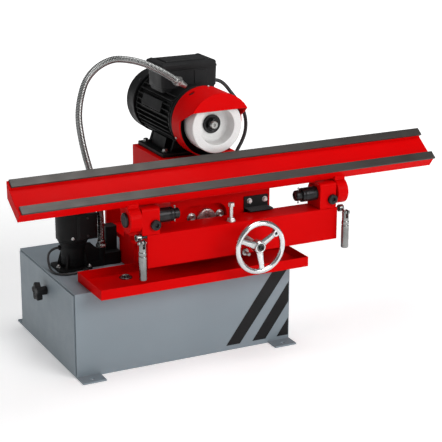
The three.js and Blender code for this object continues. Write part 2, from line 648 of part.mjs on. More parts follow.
function strip(down) {
  const outline = [
    onSlope(down, -STRIP.thick),
    onSlope(down, 0),
    onSlope(down + LAND.width, 0),
    onSlope(down + LAND.width, -STRIP.thick),
  ];
  return sidePlate(outline, BAR.x0 + STRIP.inset, BAR.x1 + STRIP.overhang);
}

// A round piece on the tilt axis between two distances from a face, measured to the given side.
function onTiltAxis(face, side, radius, from, to) {
  const ends = [face + side * from, face + side * to].sort((a, b) => a - b);
  return rod('x', AXIS.y, AXIS.z, radius, ...ends, 32);
}

// A trunnion pin through arm and ear, with a thin cap on the arm's outer face.
function trunnion(armX, side) {
  const { r, cap, capThick } = TRUNNION;
  const face = side < 0 ? armX - GAP : armX + ARM.width + GAP;
  const pinEnd = side < 0 ? EAR.left + EAR.width - 4 : EAR.right + 4;
  return onTiltAxis(face, side, cap, 0, capThick).add(onTiltAxis(face, -side, r, 0, Math.abs(pinEnd - face)));
}

// A round clamp nut on the inner side of an ear, with a thin tommy bar through its nose.
function clampNut(face, side) {
  const { r, nose, body, length, bar, barR, barHalf } = CLAMP_NUT;
  return join(
    onTiltAxis(face, side, r, 0.4, body),
    onTiltAxis(face, side, nose, body - 1, length),
    rod('z', face + side * bar, AXIS.y, barR, AXIS.z - barHalf, AXIS.z + barHalf, 10),
  );
}

// ---------------------------------------------------------------- clamp levers
function leverLink(x, beamEnd) {
  const hub = rod('x', LEVER.y, LEVER.z, 8.5, x - 6, x + 6, 24);
  const [s0, s1] = beamEnd < x ? [beamEnd + GAP, x - 5] : [x + 5, beamEnd - GAP];
  const stud = rod('x', LEVER.y, LEVER.z, 3.7, s0, s1, 16);
  const [dy, dz] = [LEVER.pinY - LEVER.y, LEVER.pinZ - LEVER.z];
  const length = Math.hypot(dy, dz);
  const [ny, nz] = [(-dz / length) * 3.4, (dy / length) * 3.4];
  const web = sidePlate([
    [LEVER.y + ny, LEVER.z + nz], [LEVER.y - ny, LEVER.z - nz],
    [LEVER.pinY - ny, LEVER.pinZ - nz], [LEVER.pinY + ny, LEVER.pinZ + nz],
  ], x - 2.5, x + 2.5);
  const eye = rod('x', LEVER.pinY, LEVER.pinZ, 5, x - 2.5, x + 2.5, 20);
  return join(hub, stud, web, eye).subtract(rod('x', LEVER.pinY, LEVER.pinZ, 2.6, x - 5, x + 5, 16));
}

function leverGrip(x, side) {
  const { pinY, pinZ, bottom } = LEVER;
  const grip = rod('z', x, pinY, 9, bottom, pinZ - 21, 28).add(rod('z', x, pinY, 8, pinZ - 22, pinZ + 7, 28));
  const slot = box(x - 3, x + 3, pinY - 12, pinY + 20, pinZ - 10, pinZ + 11);
  const pin = rod('x', pinY, pinZ, 2.3, x - 9.5, x + 9.5, 14);
  const headEnds = [x + side * 5.5, x + side * 11].sort((a, b) => a - b);
  return join(grip.subtract(slot), pin, rod('x', pinY, pinZ, 4, ...headEnds, 16));
}

// ---------------------------------------------------------------- the whole machine
add('base_cabinet', baseCabinet(), GREY);
add('side_panel', sidePanel(), GREY);
add('panel_knob', panelKnob(), BLACK);
add('drip_tray', dripTray(), RED);
add('drain_strainer', drainStrainer(), CHROME);
add('coolant_tank', coolantTank(), STEEL);
add('bed', bed(), RED);
add('motor_column', motorColumn(), RED);

add('motor_housing', motorHousing(), BLACK);
const shieldFront = MOTOR.front - MOTOR.shield;
add('front_shield', endShield(shieldFront, MOTOR.front - GAP, MOTOR.front - 1, MOTOR.front + 5), BLACK);
add('rear_shield', endShield(MOTOR.back + GAP, MOTOR.back + 12, MOTOR.back - 5, MOTOR.back + 1), BLACK);
add('front_bearing', bearing(BEARING.frontY), STEEL);
add('rear_bearing', bearing(MOTOR.back), STEEL);
add('fan_cowl', fanCowl(), BLACK);
add('spindle_shaft', spindleShaft(), STEEL);
add('cooling_fan', coolingFan(), BLACK);
add('terminal_box', terminalBox(), BLACK);
add('terminal_lid', terminalLid(), BLACK);
add('cable_gland', cableGland(), BLACK);
add('base_gland', baseGland(), BLACK);
add('motor_cable', bent(MOTOR_CABLE, MOTOR_CABLE_R, 8, 26), RUBBER);

add('inner_flange', innerFlange(), BLACK);
add('cup_wheel', cupWheel(), WHITE);
add('outer_flange', outerFlange(), BLACK);
add('spindle_nut', spindleNut(), STEEL);
add('wheel_guard', wheelGuard(), RED);
add('guard_visor', guardVisor(), RED);

add('pump_base', pumpBase(), BLACK);
add('pump_motor', pumpMotor(), BLACK);
add('pump_rotor', pumpRotor(), STEEL);
add('pump_cable', bent(PUMP_CABLE, PUMP_CABLE_R, 8, 20), RUBBER);
add('cable_elbow', cableElbow(), BLACK);
add('hose_fitting', hoseFitting(), CHROME);
add('gooseneck_hose', bent(HOSE, HOSE_R, 8, 26), CHROME);
add('hose_nozzle', nozzle(), STEEL);

add('saddle', saddle(), RED);
add('window_roller', windowRoller(), STEEL);
add('way_cover', wayCover(), BLACK);

add('beam', beam(), RED);
for (const [index, side] of ['left', 'right'].entries()) {
  const outward = index === 0 ? -1 : 1;
  const earX = EAR[side];
  const armX = ARM[side];
  const nutFace = index === 0 ? EAR.left + EAR.width : EAR.right;
  add(`guide_bar_${side}`, guideBar(GUIDE.x[index]), STEEL);
  add(`ear_${side}`, ear(earX), RED);
  add(`ear_screw_${side}`, earScrew(earX), BLACK);
  add(`trunnion_${side}`, trunnion(armX, outward), BLACK);
  add(`clamp_nut_${side}`, clampNut(nutFace, -outward), BLACK);
  add(`lever_link_${side}`, leverLink(LEVER[side], index === 0 ? BEAM.x0 : BEAM.x1), CHROME);
  add(`lever_grip_${side}`, leverGrip(LEVER[side], outward), CHROME);
}
add('lock_screw', lockScrew(), STEEL);
add('stop_bolt', stopBolt(), STEEL);
add('feed_screw', feedScrew(), STEEL);
add('handwheel', handwheel(), CHROME);

add('knife_bar', knifeBar(), RED);
add('upper_strip', strip(0), STRIP_STEEL);
add('lower_strip', strip(BAR.width - LAND.width), STRIP_STEEL);

export default machine;
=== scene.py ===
"""Looks of the wet grinding sharpener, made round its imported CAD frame.

Lengths are in millimetres here, and become metres when a mesh is made. +X runs along the knife bar,
+Y points to the back of the machine and +Z is up, as in the frame.
"""

import json
import math

import bmesh
import bpy
from mathutils import Matrix, Vector


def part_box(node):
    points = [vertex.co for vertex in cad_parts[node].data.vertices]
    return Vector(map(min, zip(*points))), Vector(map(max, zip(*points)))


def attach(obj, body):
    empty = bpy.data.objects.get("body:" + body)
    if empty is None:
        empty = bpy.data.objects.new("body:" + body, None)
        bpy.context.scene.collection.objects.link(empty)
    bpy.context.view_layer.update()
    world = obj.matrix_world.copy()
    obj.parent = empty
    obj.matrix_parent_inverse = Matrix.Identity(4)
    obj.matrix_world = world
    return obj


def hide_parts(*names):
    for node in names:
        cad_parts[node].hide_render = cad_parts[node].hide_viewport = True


TAU = 2 * math.pi
METRES = 0.001  # one millimetre in metres
GAP = 0.3  # between two neighbouring solids of the frame
CABINET_TOP = 200.3

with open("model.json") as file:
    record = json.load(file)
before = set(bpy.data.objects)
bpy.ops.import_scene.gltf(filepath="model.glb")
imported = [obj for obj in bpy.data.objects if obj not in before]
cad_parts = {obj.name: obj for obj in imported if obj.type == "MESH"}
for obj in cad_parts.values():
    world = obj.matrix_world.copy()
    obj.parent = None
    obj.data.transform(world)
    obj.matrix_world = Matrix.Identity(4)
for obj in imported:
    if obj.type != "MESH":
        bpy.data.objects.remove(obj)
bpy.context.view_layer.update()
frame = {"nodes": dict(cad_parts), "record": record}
NODE_BODY = {n: body for body, nodes in frame["record"]["behaviour"]["bodies"].items() for n in nodes}


# ---------------------------------------------------------------- reading the frame
def corners(node):
    """Lowest and highest corner of a CAD node, in millimetres."""
    low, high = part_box(node)
    return low / METRES, high / METRES


def middle(node):
    low, high = corners(node)
    return (low + high) / 2


def measured(node):
    return (*corners(node), middle(node))


# ---------------------------------------------------------------- camera
CAMERA = {
    "place": (-1352.05, -3033.63, 1327.95), "lens": 120.13,
    "azimuth": -26.784, "elevation": 17.493, "roll": 0.177,  # degrees
}


def add_camera():
    azimuth, elevation, roll = (math.radians(CAMERA[k]) for k in ("azimuth", "elevation", "roll"))
    level = math.cos(elevation)
    back = Vector((math.sin(azimuth) * level, -math.cos(azimuth) * level, math.sin(elevation)))
    level_right = (-back).cross(Vector((0, 0, 1))).normalized()
    level_up = level_right.cross(-back)
    right = level_right * math.cos(roll) + level_up * math.sin(roll)
    up = right.cross(-back)
    turn = Matrix((right, up, back)).transposed().to_4x4()
    camera = bpy.data.objects.new("camera", bpy.data.cameras.new("camera"))
    camera.data.lens = CAMERA["lens"]
    camera.data.sensor_width = 36
    camera.matrix_world = Matrix.Translation(Vector(CAMERA["place"]) * METRES) @ turn
    bpy.context.scene.collection.objects.link(camera)
    bpy.context.scene.camera = camera


add_camera()


# ---------------------------------------------------------------- materials
class Finish:
    """A procedural material: nodes are added one by one round a Principled shader."""

    def __init__(self, name, metallic=0.0):
        self.material = bpy.data.materials.new(name)
        self.material.use_nodes = True
        self.tree = self.material.node_tree
        self.shader = self.tree.nodes["Principled BSDF"]
        self.shader.inputs["Metallic"].default_value = metallic
        self.place = self.node("ShaderNodeTexCoord").outputs["Object"]

    def node(self, kind, **settings):
        made = self.tree.nodes.new(kind)
        for key, value in settings.items():
            setattr(made, key, value)
        return made

    def link(self, source, target):
        self.tree.links.new(source, target)

    def stretched(self, x, y, z):
        mapping = self.node("ShaderNodeMapping")
        mapping.inputs["Scale"].default_value = (x, y, z)
        self.link(self.place, mapping.inputs["Vector"])
        return mapping.outputs["Vector"]

    def noise(self, scale, detail=3.0, place=None):
        made = self.node("ShaderNodeTexNoise")
        made.inputs["Scale"].default_value = scale
        made.inputs["Detail"].default_value = detail
        self.link(place or self.place, made.inputs["Vector"])
        return made.outputs["Fac"]

    def cells(self, scale, output="Color"):
        made = self.node("ShaderNodeTexVoronoi")
        made.inputs["Scale"].default_value = scale
        self.link(self.place, made.inputs["Vector"])
        return made.outputs[output]

    def between(self, value, low, high, start=0.3, stop=0.7):
        made = self.node("ShaderNodeMapRange")
        for key, number in (("From Min", start), ("From Max", stop), ("To Min", low), ("To Max", high)):
            made.inputs[key].default_value = number
        self.link(value, made.inputs["Value"])
        return made.outputs["Result"]

    def blend(self, share, first, second):
        """A colour from first to second; each is a colour or another node's output."""
        made = self.node("ShaderNodeMix", data_type="RGBA")
        self.link(share, made.inputs["Factor"])
        for socket, colour in zip((made.inputs[6], made.inputs[7]), (first, second)):
            if isinstance(colour, tuple):
                socket.default_value = (*colour, 1)
            else:
                self.link(colour, socket)
        return made.outputs[2]

    def edges(self, width, start=0.02, stop=0.25):
        """1 along the edges of the piece and 0 on its faces."""
        bevel = self.node("ShaderNodeBevel", samples=6)
        bevel.inputs["Radius"].default_value = width * METRES
        true_normal = self.node("ShaderNodeNewGeometry").outputs["Normal"]
        dot = self.node("ShaderNodeVectorMath", operation="DOT_PRODUCT")
        self.link(bevel.outputs["Normal"], dot.inputs[0])
        self.link(true_normal, dot.inputs[1])
        flipped = self.node("ShaderNodeMath", operation="SUBTRACT")
        flipped.inputs[0].default_value = 1
        self.link(dot.outputs["Value"], flipped.inputs[1])
        return self.between(flipped.outputs[0], 0, 1, start, stop)

    def times(self, first, second):
        made = self.node("ShaderNodeMath", operation="MULTIPLY")
        self.link(first, made.inputs[0])
        if isinstance(second, (int, float)):
            made.inputs[1].default_value = second
        else:
            self.link(second, made.inputs[1])
        return made.outputs[0]

    def bump(self, *layers):
        """Each layer is (height, strength, depth in millimetres)."""
        normal = None
        for height, strength, depth in layers:
            made = self.node("ShaderNodeBump")
            made.inputs["Strength"].default_value = strength
            made.inputs["Distance"].default_value = depth * METRES
            self.link(height, made.inputs["Height"])
            if normal is not None:
                self.link(normal, made.inputs["Normal"])
            normal = made.outputs["Normal"]
        self.link(normal, self.shader.inputs["Normal"])

    def done(self, colour, roughness, coat=0.0, specular=0.5):
        self.link(colour, self.shader.inputs["Base Color"])
        self.link(roughness, self.shader.inputs["Roughness"])
        self.shader.inputs["Coat Weight"].default_value = coat
        self.shader.inputs["Coat Roughness"].default_value = 0.1
        self.shader.inputs["Specular IOR Level"].default_value = specular
        return self.material


def enamel(name, colour, deep, rough, coat):
    """Sprayed gloss enamel: soft colour drift, orange peel and a clear gloss."""
    f = Finish(name)
    drift = f.between(f.noise(5.0), 0, 1)
    body = f.blend(drift, colour, deep)
    thin = f.times(f.edges(1.6), f.between(f.noise(60.0), 0.0, 0.55))
    f.bump((f.noise(210.0, 2.0), 0.10, 0.25), (f.noise(1400.0, 2.0), 0.06, 0.05))
    shine = f.between(f.noise(18.0, 5.0), rough, rough + 0.12)
    return f.done(f.blend(thin, body, tuple(c * 0.62 for c in colour)), shine, coat=coat, specular=0.03)


def powder_coat(name, colour, other):
    """Fine-grained powder coat with a satin sheen."""
    f = Finish(name)
    body = f.blend(f.between(f.noise(4.0, 4.0), 0, 1), colour, other)
    grain = f.noise(1100.0, 2.0)
    speck = f.blend(f.between(grain, 0, 0.35, 0.35, 0.75), body, tuple(c * 0.72 for c in colour))
    f.bump((grain, 0.22, 0.06), (f.noise(260.0, 2.0), 0.10, 0.16))
    return f.done(speck, f.between(f.noise(30.0, 4.0), 0.42, 0.56), specular=0.3)


def cast_black(name, colour, rough, grain, strength):
    """Black paint over a rough casting, or a moulded plastic with its grain."""
    f = Finish(name)
    lighter = tuple(c * 1.5 + 0.002 for c in colour)
    body = f.blend(f.between(f.noise(14.0, 5.0), 0, 1), colour, lighter)
    worn = f.times(f.edges(1.2), f.between(f.noise(90.0), 0.1, 0.7))
    f.bump((f.noise(grain, 3.0), strength, 0.25), (f.cells(grain * 4, "Distance"), strength * 0.5, 0.06))
    bare = tuple(c * 3.2 + 0.01 for c in colour)
    return f.done(f.blend(worn, body, bare), f.between(f.noise(40.0), rough, rough + 0.16), specular=0.16)


def black_oxide():
    """Blackened steel that shows brighter metal along its handled edges."""
    f = Finish("black_oxide", 0.75)
    body = f.blend(f.between(f.noise(70.0, 4.0), 0, 1), (0.012, 0.012, 0.013), (0.030, 0.029, 0.030))
    worn = f.times(f.edges(0.8), f.between(f.noise(240.0), 0.15, 0.9))
    f.bump((f.noise(900.0, 3.0), 0.18, 0.05))
    return f.done(f.blend(worn, body, (0.20, 0.19, 0.18)), f.between(f.noise(120.0), 0.26, 0.42))


def bare_metal(name, dull, bright, rough, lines, line_strength, smear=22.0):
    """Bare metal with fine machining lines along the given stretch of the texture, and handling marks."""
    f = Finish(name, 1.0)
    marks = f.noise(1.0, 4.0, f.stretched(*lines))
    tone = f.blend(f.between(f.noise(smear, 5.0), 0, 1), bright, dull)
    shade = f.blend(f.between(marks, 0, 0.3), tone, tuple(c * 0.6 for c in dull))
    f.bump((marks, line_strength, 0.04), (f.noise(600.0, 2.0), 0.05, 0.05))
    return f.done(shade, f.between(f.noise(smear * 2, 6.0), rough, rough + 0.16))


def galvanised():
    """Zinc-plated steel: small crystals of slightly different greys."""
    f = Finish("galvanised_steel", 1.0)
    crystals = f.cells(420.0)
    tone = f.blend(f.between(crystals, 0, 1, 0.1, 0.9), (0.50, 0.50, 0.49), (0.74, 0.74, 0.73))
    grime = f.times(f.edges(0.6), f.between(f.noise(300.0), 0.0, 0.5))
    f.bump((f.noise(800.0, 3.0), 0.16, 0.05))
    return f.done(f.blend(grime, tone, (0.26, 0.25, 0.24)), f.between(crystals, 0.26, 0.42, 0.1, 0.9))


def ground_strip():
    """Dark ground steel with long fine grinding lines and a little oil bloom."""
    f = Finish("ground_strip", 0.45)
    lines = f.noise(1.0, 5.0, f.stretched(14.0, 900.0, 900.0))
    bloom = f.blend(f.between(f.noise(9.0, 5.0), 0, 1), (0.050, 0.044, 0.040), (0.066, 0.060, 0.055))
    body = f.blend(f.between(lines, 0, 0.5), bloom, (0.029, 0.025, 0.023))
    f.bump((lines, 0.20, 0.05))
    return f.done(body, f.between(f.noise(26.0, 5.0), 0.36, 0.52))


def abrasive():
    """White aluminium oxide: bonded grains with open pores."""
    f = Finish("abrasive")
    grains = f.cells(900.0)
    tone = f.blend(f.between(grains, 0, 1, 0.1, 0.9), (0.71, 0.705, 0.695), (0.80, 0.798, 0.792))
    pores = f.between(f.noise(1500.0, 2.0), 0.6, 0.0, 0.30, 0.42)
    f.bump((f.cells(900.0, "Distance"), 0.55, 0.25), (f.noise(2200.0, 2.0), 0.35, 0.1))
    shine = f.between(grains, 0.82, 0.98, 0.1, 0.9)
    return f.done(f.blend(pores, tone, (0.50, 0.49, 0.47)), shine, specular=0.25)


def cable_rubber():
    """Black cable sheath with a faint extruded grain and dusty patches."""
    f = Finish("cable_rubber")
    tone = f.blend(f.between(f.noise(45.0, 5.0), 0, 1), (0.010, 0.010, 0.011), (0.026, 0.026, 0.027))
    f.bump((f.noise(1300.0, 2.0), 0.20, 0.05))
    return f.done(tone, f.between(f.noise(70.0), 0.38, 0.55))


FINISHES = {
    "red_paint": enamel("red_paint", (0.61, 0.0003, 0.0008), (0.55, 0.0002, 0.0006), 0.40, 0.01),
    "grey_paint": powder_coat("grey_paint", (0.240, 0.286, 0.318), (0.214, 0.256, 0.286)),
    "black_paint": cast_black("black_paint", (0.0026, 0.0027, 0.0029), 0.42, 170.0, 0.22),
    "black_plastic": cast_black("black_plastic", (0.0075, 0.0075, 0.0080), 0.42, 420.0, 0.14),
    "black_oxide": black_oxide(),
    "chrome": bare_metal("chrome", (0.20, 0.205, 0.20), (0.31, 0.315, 0.31), 0.17, (900.0, 900.0, 30.0),
                         0.05),
    "polished_aluminium": bare_metal("polished_aluminium", (0.58, 0.585, 0.59), (0.72, 0.722, 0.725), 0.14,
                                     (260.0, 260.0, 260.0), 0.07),
    "bright_steel": bare_metal("bright_steel", (0.30, 0.30, 0.29), (0.42, 0.42, 0.41), 0.28,
                               (60.0, 1500.0, 1500.0), 0.12),
    "galvanised_steel": galvanised(),
    "ground_strip": ground_strip(),
    "abrasive": abrasive(),
    "cable_rubber": cable_rubber(),
}


# ---------------------------------------------------------------- mesh tools
def direction(axis):
    """Three square directions for an axis: along it, and two across it."""
    if isinstance(axis, str):
        table = {"x": ((1, 0, 0), (0, 1, 0), (0, 0, 1)), "y": ((0, 1, 0), (0, 0, 1), (1, 0, 0)),
                 "z": ((0, 0, 1), (1, 0, 0), (0, 1, 0))}
        return [Vector(v) for v in table[axis]]
    along = Vector(axis).normalized()
    across = along.orthogonal().normalized()
    return [along, across, along.cross(across)]


def spot(axis, along, a, b):
    """A point from its distance along an axis and its two other coordinates in x, y, z order."""
    return Vector({"x": (along, a, b), "y": (a, along, b), "z": (a, b, along)}[axis])


def eased(points, radius, steps=3, closed=False):
    """A line of 2-D points with its corners rounded off. Points with a third value stay as they are."""
    out = []
    count = len(points)
    for i, point in enumerate(points):
        if len(point) > 2 or (not closed and i in (0, count - 1)):
            out.append(point)
            continue
        here, before, after = Vector(point), Vector(points[i - 1][:2]), Vector(points[(i + 1) % count][:2])
        reach = min(radius, (before - here).length * 0.45, (after - here).length * 0.45)
        first = here + (before - here).normalized() * reach
        last = here + (after - here).normalized() * reach
        for k in range(steps + 1):
            t = k / steps
            out.append(tuple(first * (1 - t) ** 2 + here * 2 * t * (1 - t) + last * t * t))
    return out


def bridge(bm, first, second):
    """Faces between two rings; a ring of one vertex is a pole."""
    count = max(len(first), len(second))
    for i in range(count):
        k = (i + 1) % count
        ring = [first[i % len(first)], first[k % len(first)], second[k % len(second)],
                second[i % len(second)]]
        corners_used = list(dict.fromkeys(ring))
        if len(corners_used) > 2:
            bm.faces.new(corners_used)


def lathe(bm, at, axis, profile, sides=64, closed=False):
    """Turns a profile of (along, radius) points round an axis through "at".

    A point's third value, if it has one, changes the radius by angle.
    """
    along_way, u, v = direction(axis)
    rings = []
    for along, radius, *form in profile:
        centre = Vector(at) + along_way * along
        if radius == 0:
            rings.append([bm.verts.new(centre)])
            continue
        ring = []
        for i in range(sides):
            angle = TAU * i / sides
            reach = radius * (form[0](angle) if form else 1)
            ring.append(bm.verts.new(centre + (u * math.cos(angle) + v * math.sin(angle)) * reach))
        rings.append(ring)
    pairs = list(zip(rings, rings[1:]))
    if closed:
        pairs.append((rings[-1], rings[0]))
    for first, second in pairs:
        bridge(bm, first, second)


def radial(angle):
    """Outward at an angle round a line along Y, and square to that along the turn."""
    away = Vector((math.cos(angle), 0, math.sin(angle)))
    return away, Vector((-away.z, 0, away.x))


def level_radial(angle):
    """The same round a line along Z."""
    away = Vector((math.cos(angle), math.sin(angle), 0))
    return away, Vector((-away.y, away.x, 0))


def hexagon(angle):
    """The radius of a hexagon whose flats are one unit from its centre."""
    return 1 / math.cos((angle % (TAU / 6)) - TAU / 12)


def lobes(count, depth):
    """A radius that swells and shrinks a number of times in a turn, for knurls and star knobs."""
    return lambda angle: 1 + depth * math.cos(count * angle)


def closed_skin(bm, outlines):
    """A closed skin over rings of points that follow each other."""
    rings = [[bm.verts.new(point) for point in outline] for outline in outlines]
    for first, second in zip(rings, rings[1:]):
        bridge(bm, first, second)
    bm.faces.new(rings[0])
    bm.faces.new(rings[-1])


def turned_ring(bm, at, axis, profile, soft, steps, sides):
    """A ring with its profile's corners rounded off."""
    lathe(bm, at, axis, eased(profile, soft, steps, closed=True), sides, closed=True)


def prism(bm, outline, axis, start, end):
    """A plate cut to an outline of two coordinates, in x, y, z order without the axis."""
    closed_skin(bm, [[spot(axis, along, a, b) for a, b in outline] for along in (start, end)])


def block(bm, low, high):
    outline = [(low[0], low[1]), (high[0], low[1]), (high[0], high[1]), (low[0], high[1])]
    prism(bm, outline, "z", low[2], high[2])


def rounded_rectangle(x0, x1, y0, y1, radius, steps=6):
    return eased([(x0, y0), (x1, y0), (x1, y1), (x0, y1)], radius, steps, closed=True)


def loft(bm, stations, sides=24, closed=False):
    """A skin over rings; each station is (centre, one half-width vector, the other half-width vector)."""
    rings = []
    for centre, u, v in stations:
        angles = [TAU * i / sides for i in range(sides)]
        rings.append([bm.verts.new(centre + u * math.cos(a) + v * math.sin(a)) for a in angles])
    pairs = list(zip(rings, rings[1:]))
    if closed:
        pairs.append((rings[-1], rings[0]))
    for first, second in pairs:
        bridge(bm, first, second)
    if not closed:
        for ring, station in ((rings[0], stations[0]), (rings[-1], stations[-1])):
            bridge(bm, ring, [bm.verts.new(station[0])])


def flowing(points, per_span):
    """A smooth curve through the points (centripetal Catmull-Rom)."""
    nodes = [Vector(p) for p in points]
    nodes = [nodes[0] * 2 - nodes[1], *nodes, nodes[-1] * 2 - nodes[-2]]
    out = []
    for p0, p1, p2, p3 in zip(nodes, nodes[1:], nodes[2:], nodes[3:]):
        t1 = (p1 - p0).length ** 0.5
        t2 = t1 + (p2 - p1).length ** 0.5
        t3 = t2 + (p3 - p2).length ** 0.5
        for k in range(per_span):
            t = t1 + (t2 - t1) * k / per_span
            a1 = p0 * ((t1 - t) / t1) + p1 * (t / t1)
            a2 = p1 * ((t2 - t) / (t2 - t1)) + p2 * ((t - t1) / (t2 - t1))
            a3 = p2 * ((t3 - t) / (t3 - t2)) + p3 * ((t - t2) / (t3 - t2))
            b1 = a1 * ((t2 - t) / t2) + a2 * (t / t2)
            b2 = a2 * ((t3 - t) / (t3 - t1)) + a3 * ((t - t1) / (t3 - t1))
            out.append(b1 * ((t2 - t) / (t2 - t1)) + b2 * ((t - t1) / (t2 - t1)))
    return [*out, nodes[-2]]


def even_steps(line, step):
    """Points a fixed distance apart along a line of points."""
    out = [line[0]]
    left = step
    for a, b in zip(line, line[1:]):
        length = (b - a).length
        at = left
        while at <= length:
            out.append(a.lerp(b, at / length))
            at += step
        left = at - length
    return out


def sweep(bm, line, radius_at, sides=18):
    """A round skin along a line; radius_at gives the radius at each point's number."""
    across = (line[1] - line[0]).orthogonal().normalized()
    stations = []
    for i, point in enumerate(line):
        way = (line[min(i + 1, len(line) - 1)] - line[max(i - 1, 0)]).normalized()
        across = (across - way * across.dot(way)).normalized()
        radius = radius_at(i)
        stations.append((point, across * radius, way.cross(across) * radius))
    loft(bm, stations, sides)


# ---------------------------------------------------------------- pieces
SHARP = math.radians(32)  # edges that turn more than this are edges, and the rest is one smooth surface


def bevelled(piece, width):
    edge = piece.modifiers.new("edge", "BEVEL")
    edge.width = width * METRES
    edge.segments = 3
    edge.limit_method = "ANGLE"
    edge.angle_limit = SHARP
    edge.harden_normals = True


def placed(name, mesh, slot, body, bevel=0.0):
    """Puts a finished mesh in the scene as a piece of the machine."""
    mesh.materials.clear()
    mesh.materials.append(FINISHES[slot])
    mesh.shade_smooth()
    mesh.set_sharp_from_angle(angle=SHARP)
    piece = bpy.data.objects.new(name, mesh)
    bpy.context.scene.collection.objects.link(piece)
    if bevel:
        bevelled(piece, bevel)
    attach(piece, body)
    return piece


def mesh_from(name, bm):
    bmesh.ops.recalc_face_normals(bm, faces=bm.faces[:])
    bmesh.ops.scale(bm, vec=(METRES, METRES, METRES), verts=bm.verts[:])
    mesh = bpy.data.meshes.new(name)
    bm.to_mesh(mesh)
    bm.free()
    return mesh


def new_piece(name, slot, build, node=None, body=None, bevel=0.0, cutters=()):
    """A piece whose shape the build functions draw. It stands for a CAD node, or rides on a named body."""
    bm = bmesh.new()
    build(bm)
    mesh = mesh_from(name, bm)
    for cutter in cutters:
        mesh = cut(mesh, cutter)
    piece = placed(name, mesh, slot, body or NODE_BODY[node], bevel)
    if node:
        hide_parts(node)
    return piece


def turned(name, slot, at, axis, profile, node=None, sides=64, closed=False, body=None, bevel=0.0):
    """A piece of one turned profile."""
    new_piece(name, slot, lambda bm: lathe(bm, at, axis, profile, sides, closed), node, body, bevel)


def cut(mesh, draw_cutter):
    """The mesh less the shape that draw_cutter draws."""
    bm = bmesh.new()
    draw_cutter(bm)
    objects = [bpy.data.objects.new("cut", m) for m in (mesh, mesh_from("cutter", bm))]
    for o in objects:
        bpy.context.scene.collection.objects.link(o)
    boolean = objects[0].modifiers.new("cut", "BOOLEAN")
    boolean.operation = "DIFFERENCE"
    boolean.solver = "EXACT"
    boolean.object = objects[1]
    graph = bpy.context.evaluated_depsgraph_get()
    result = bpy.data.meshes.new_from_object(objects[0].evaluated_get(graph))
    for o in objects:
        bpy.data.objects.remove(o)
    return result


def refined(node, slot, bevel):
    """A piece with a CAD node's own shape, its flat faces made whole and its edges rounded."""
    bm = bmesh.new()
    bm.from_mesh(frame["nodes"][node].data)
    bmesh.ops.remove_doubles(bm, verts=bm.verts[:], dist=1e-5)
    bmesh.ops.dissolve_limit(bm, angle_limit=math.radians(0.6), verts=bm.verts[:], edges=bm.edges[:])
    mesh = bpy.data.meshes.new(node)
    bm.to_mesh(mesh)
    bm.free()
    for attribute in ("custom_normal", "sharp_face"):
        if attribute in mesh.attributes:
            mesh.attributes.remove(mesh.attributes[attribute])
    piece = placed(f"{node}_shape", mesh, slot, NODE_BODY[node], bevel)
    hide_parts(node)
    return piece


# ---------------------------------------------------------------- fasteners
def washer(bm, at, axis, radius, thick=1.6):
    lathe(bm, at, axis, eased([(0, 0), (0, radius), (thick, radius), (thick, 0)], 0.4), 36)


def hex_head(bm, at, axis, flats, height):
    """A hexagon head or nut with its corners turned off at the top."""
    half = flats / 2
    lathe(bm, at, axis, [(0, 0), (0, half, hexagon), (height * 0.72, half, hexagon),
                         (height * 0.86, half * 0.98, hexagon), (height, half * 0.95), (height, 0)], 48)


def socket_head(bm, at, axis, radius, height):
    """A cap screw's head with its hexagon socket."""
    socket = radius * 0.52
    floor = height * 0.4
    rim = [(0, 0), (0, radius), (height - 0.8, radius), (height, radius - 0.8), (height, socket * 1.25)]
    lathe(bm, at, axis, [*rim, (height - 0.4, socket, hexagon), (floor, socket, hexagon), (floor, 0)], 48)


def pan_head(bm, at, axis, radius, height):
    """A low round screw head with a cross recess hinted by a dimple."""
    dome = [(0, 0), (0, radius), (height * 0.35, radius), (height * 0.8, radius * 0.78),
            (height, radius * 0.4)]
    lathe(bm, at, axis, [*dome, (height * 0.55, radius * 0.22), (height * 0.5, 0)], 32)


# ---------------------------------------------------------------- cords
MOTOR_CABLE = [
    (204.6, 90, 584), (210, 90, 583.6), (217, 90, 581.6), (224, 90, 578), (231, 90, 572.6), (238, 90, 565.5),
    (246, 90, 555.5), (256, 90, 543), (268, 90, 528), (279.5, 90, 511), (288, 90, 492), (292, 90, 470),
    (290, 90, 446), (281, 90, 423), (268, 90, 401), (256, 90, 372), (246, 90, 335), (239, 90, 292),
    (236, 90, 252), (236, 90, 218.8),
]
PUMP_CABLE = [
    (-236.4, 8, 248), (-240.4, 8, 248), (-251.4, 8, 245), (-259.5, 7.5, 237), (-262.4, 6, 226),
    (-262.4, 2.5, 214.5), (-262.4, -5.5, 206.5), (-262.2, -16, 203.3), (-261.8, -28, 203.1),
    (-258.5, -39, 203.1), (-251, -48, 203.1), (-240, -53.5, 203.1), (-226, -55, 203.5),
    (-211, -55, 205.2), (-200.8, -55, 206),
]


def cord(name, node, route, diameter):
    """A free cable along its route, which starts and ends in the machine."""
    line = [p * METRES for p in flowing(route, 6)]
    curve = bpy.data.curves.new(name, "CURVE")
    curve.dimensions = "3D"
    curve.bevel_depth = diameter / 2 * METRES
    curve.bevel_resolution = 6
    curve.use_fill_caps = True
    spline = curve.splines.new("POLY")
    spline.points.add(len(line) - 1)
    for point, place in zip(spline.points, line):
        point.co = (*place, 1)
    spline.use_smooth = True
    curve.materials.append(FINISHES["cable_rubber"])
    piece = bpy.data.objects.new(name, curve)
    bpy.context.scene.collection.objects.link(piece)
    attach(piece, "root")
    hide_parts(node)


def add_cords():
    cord("motor_cable_sheath", "motor_cable", MOTOR_CABLE, 9.0)
    cord("pump_cable_sheath", "pump_cable", PUMP_CABLE, 5.5)


add_cords()


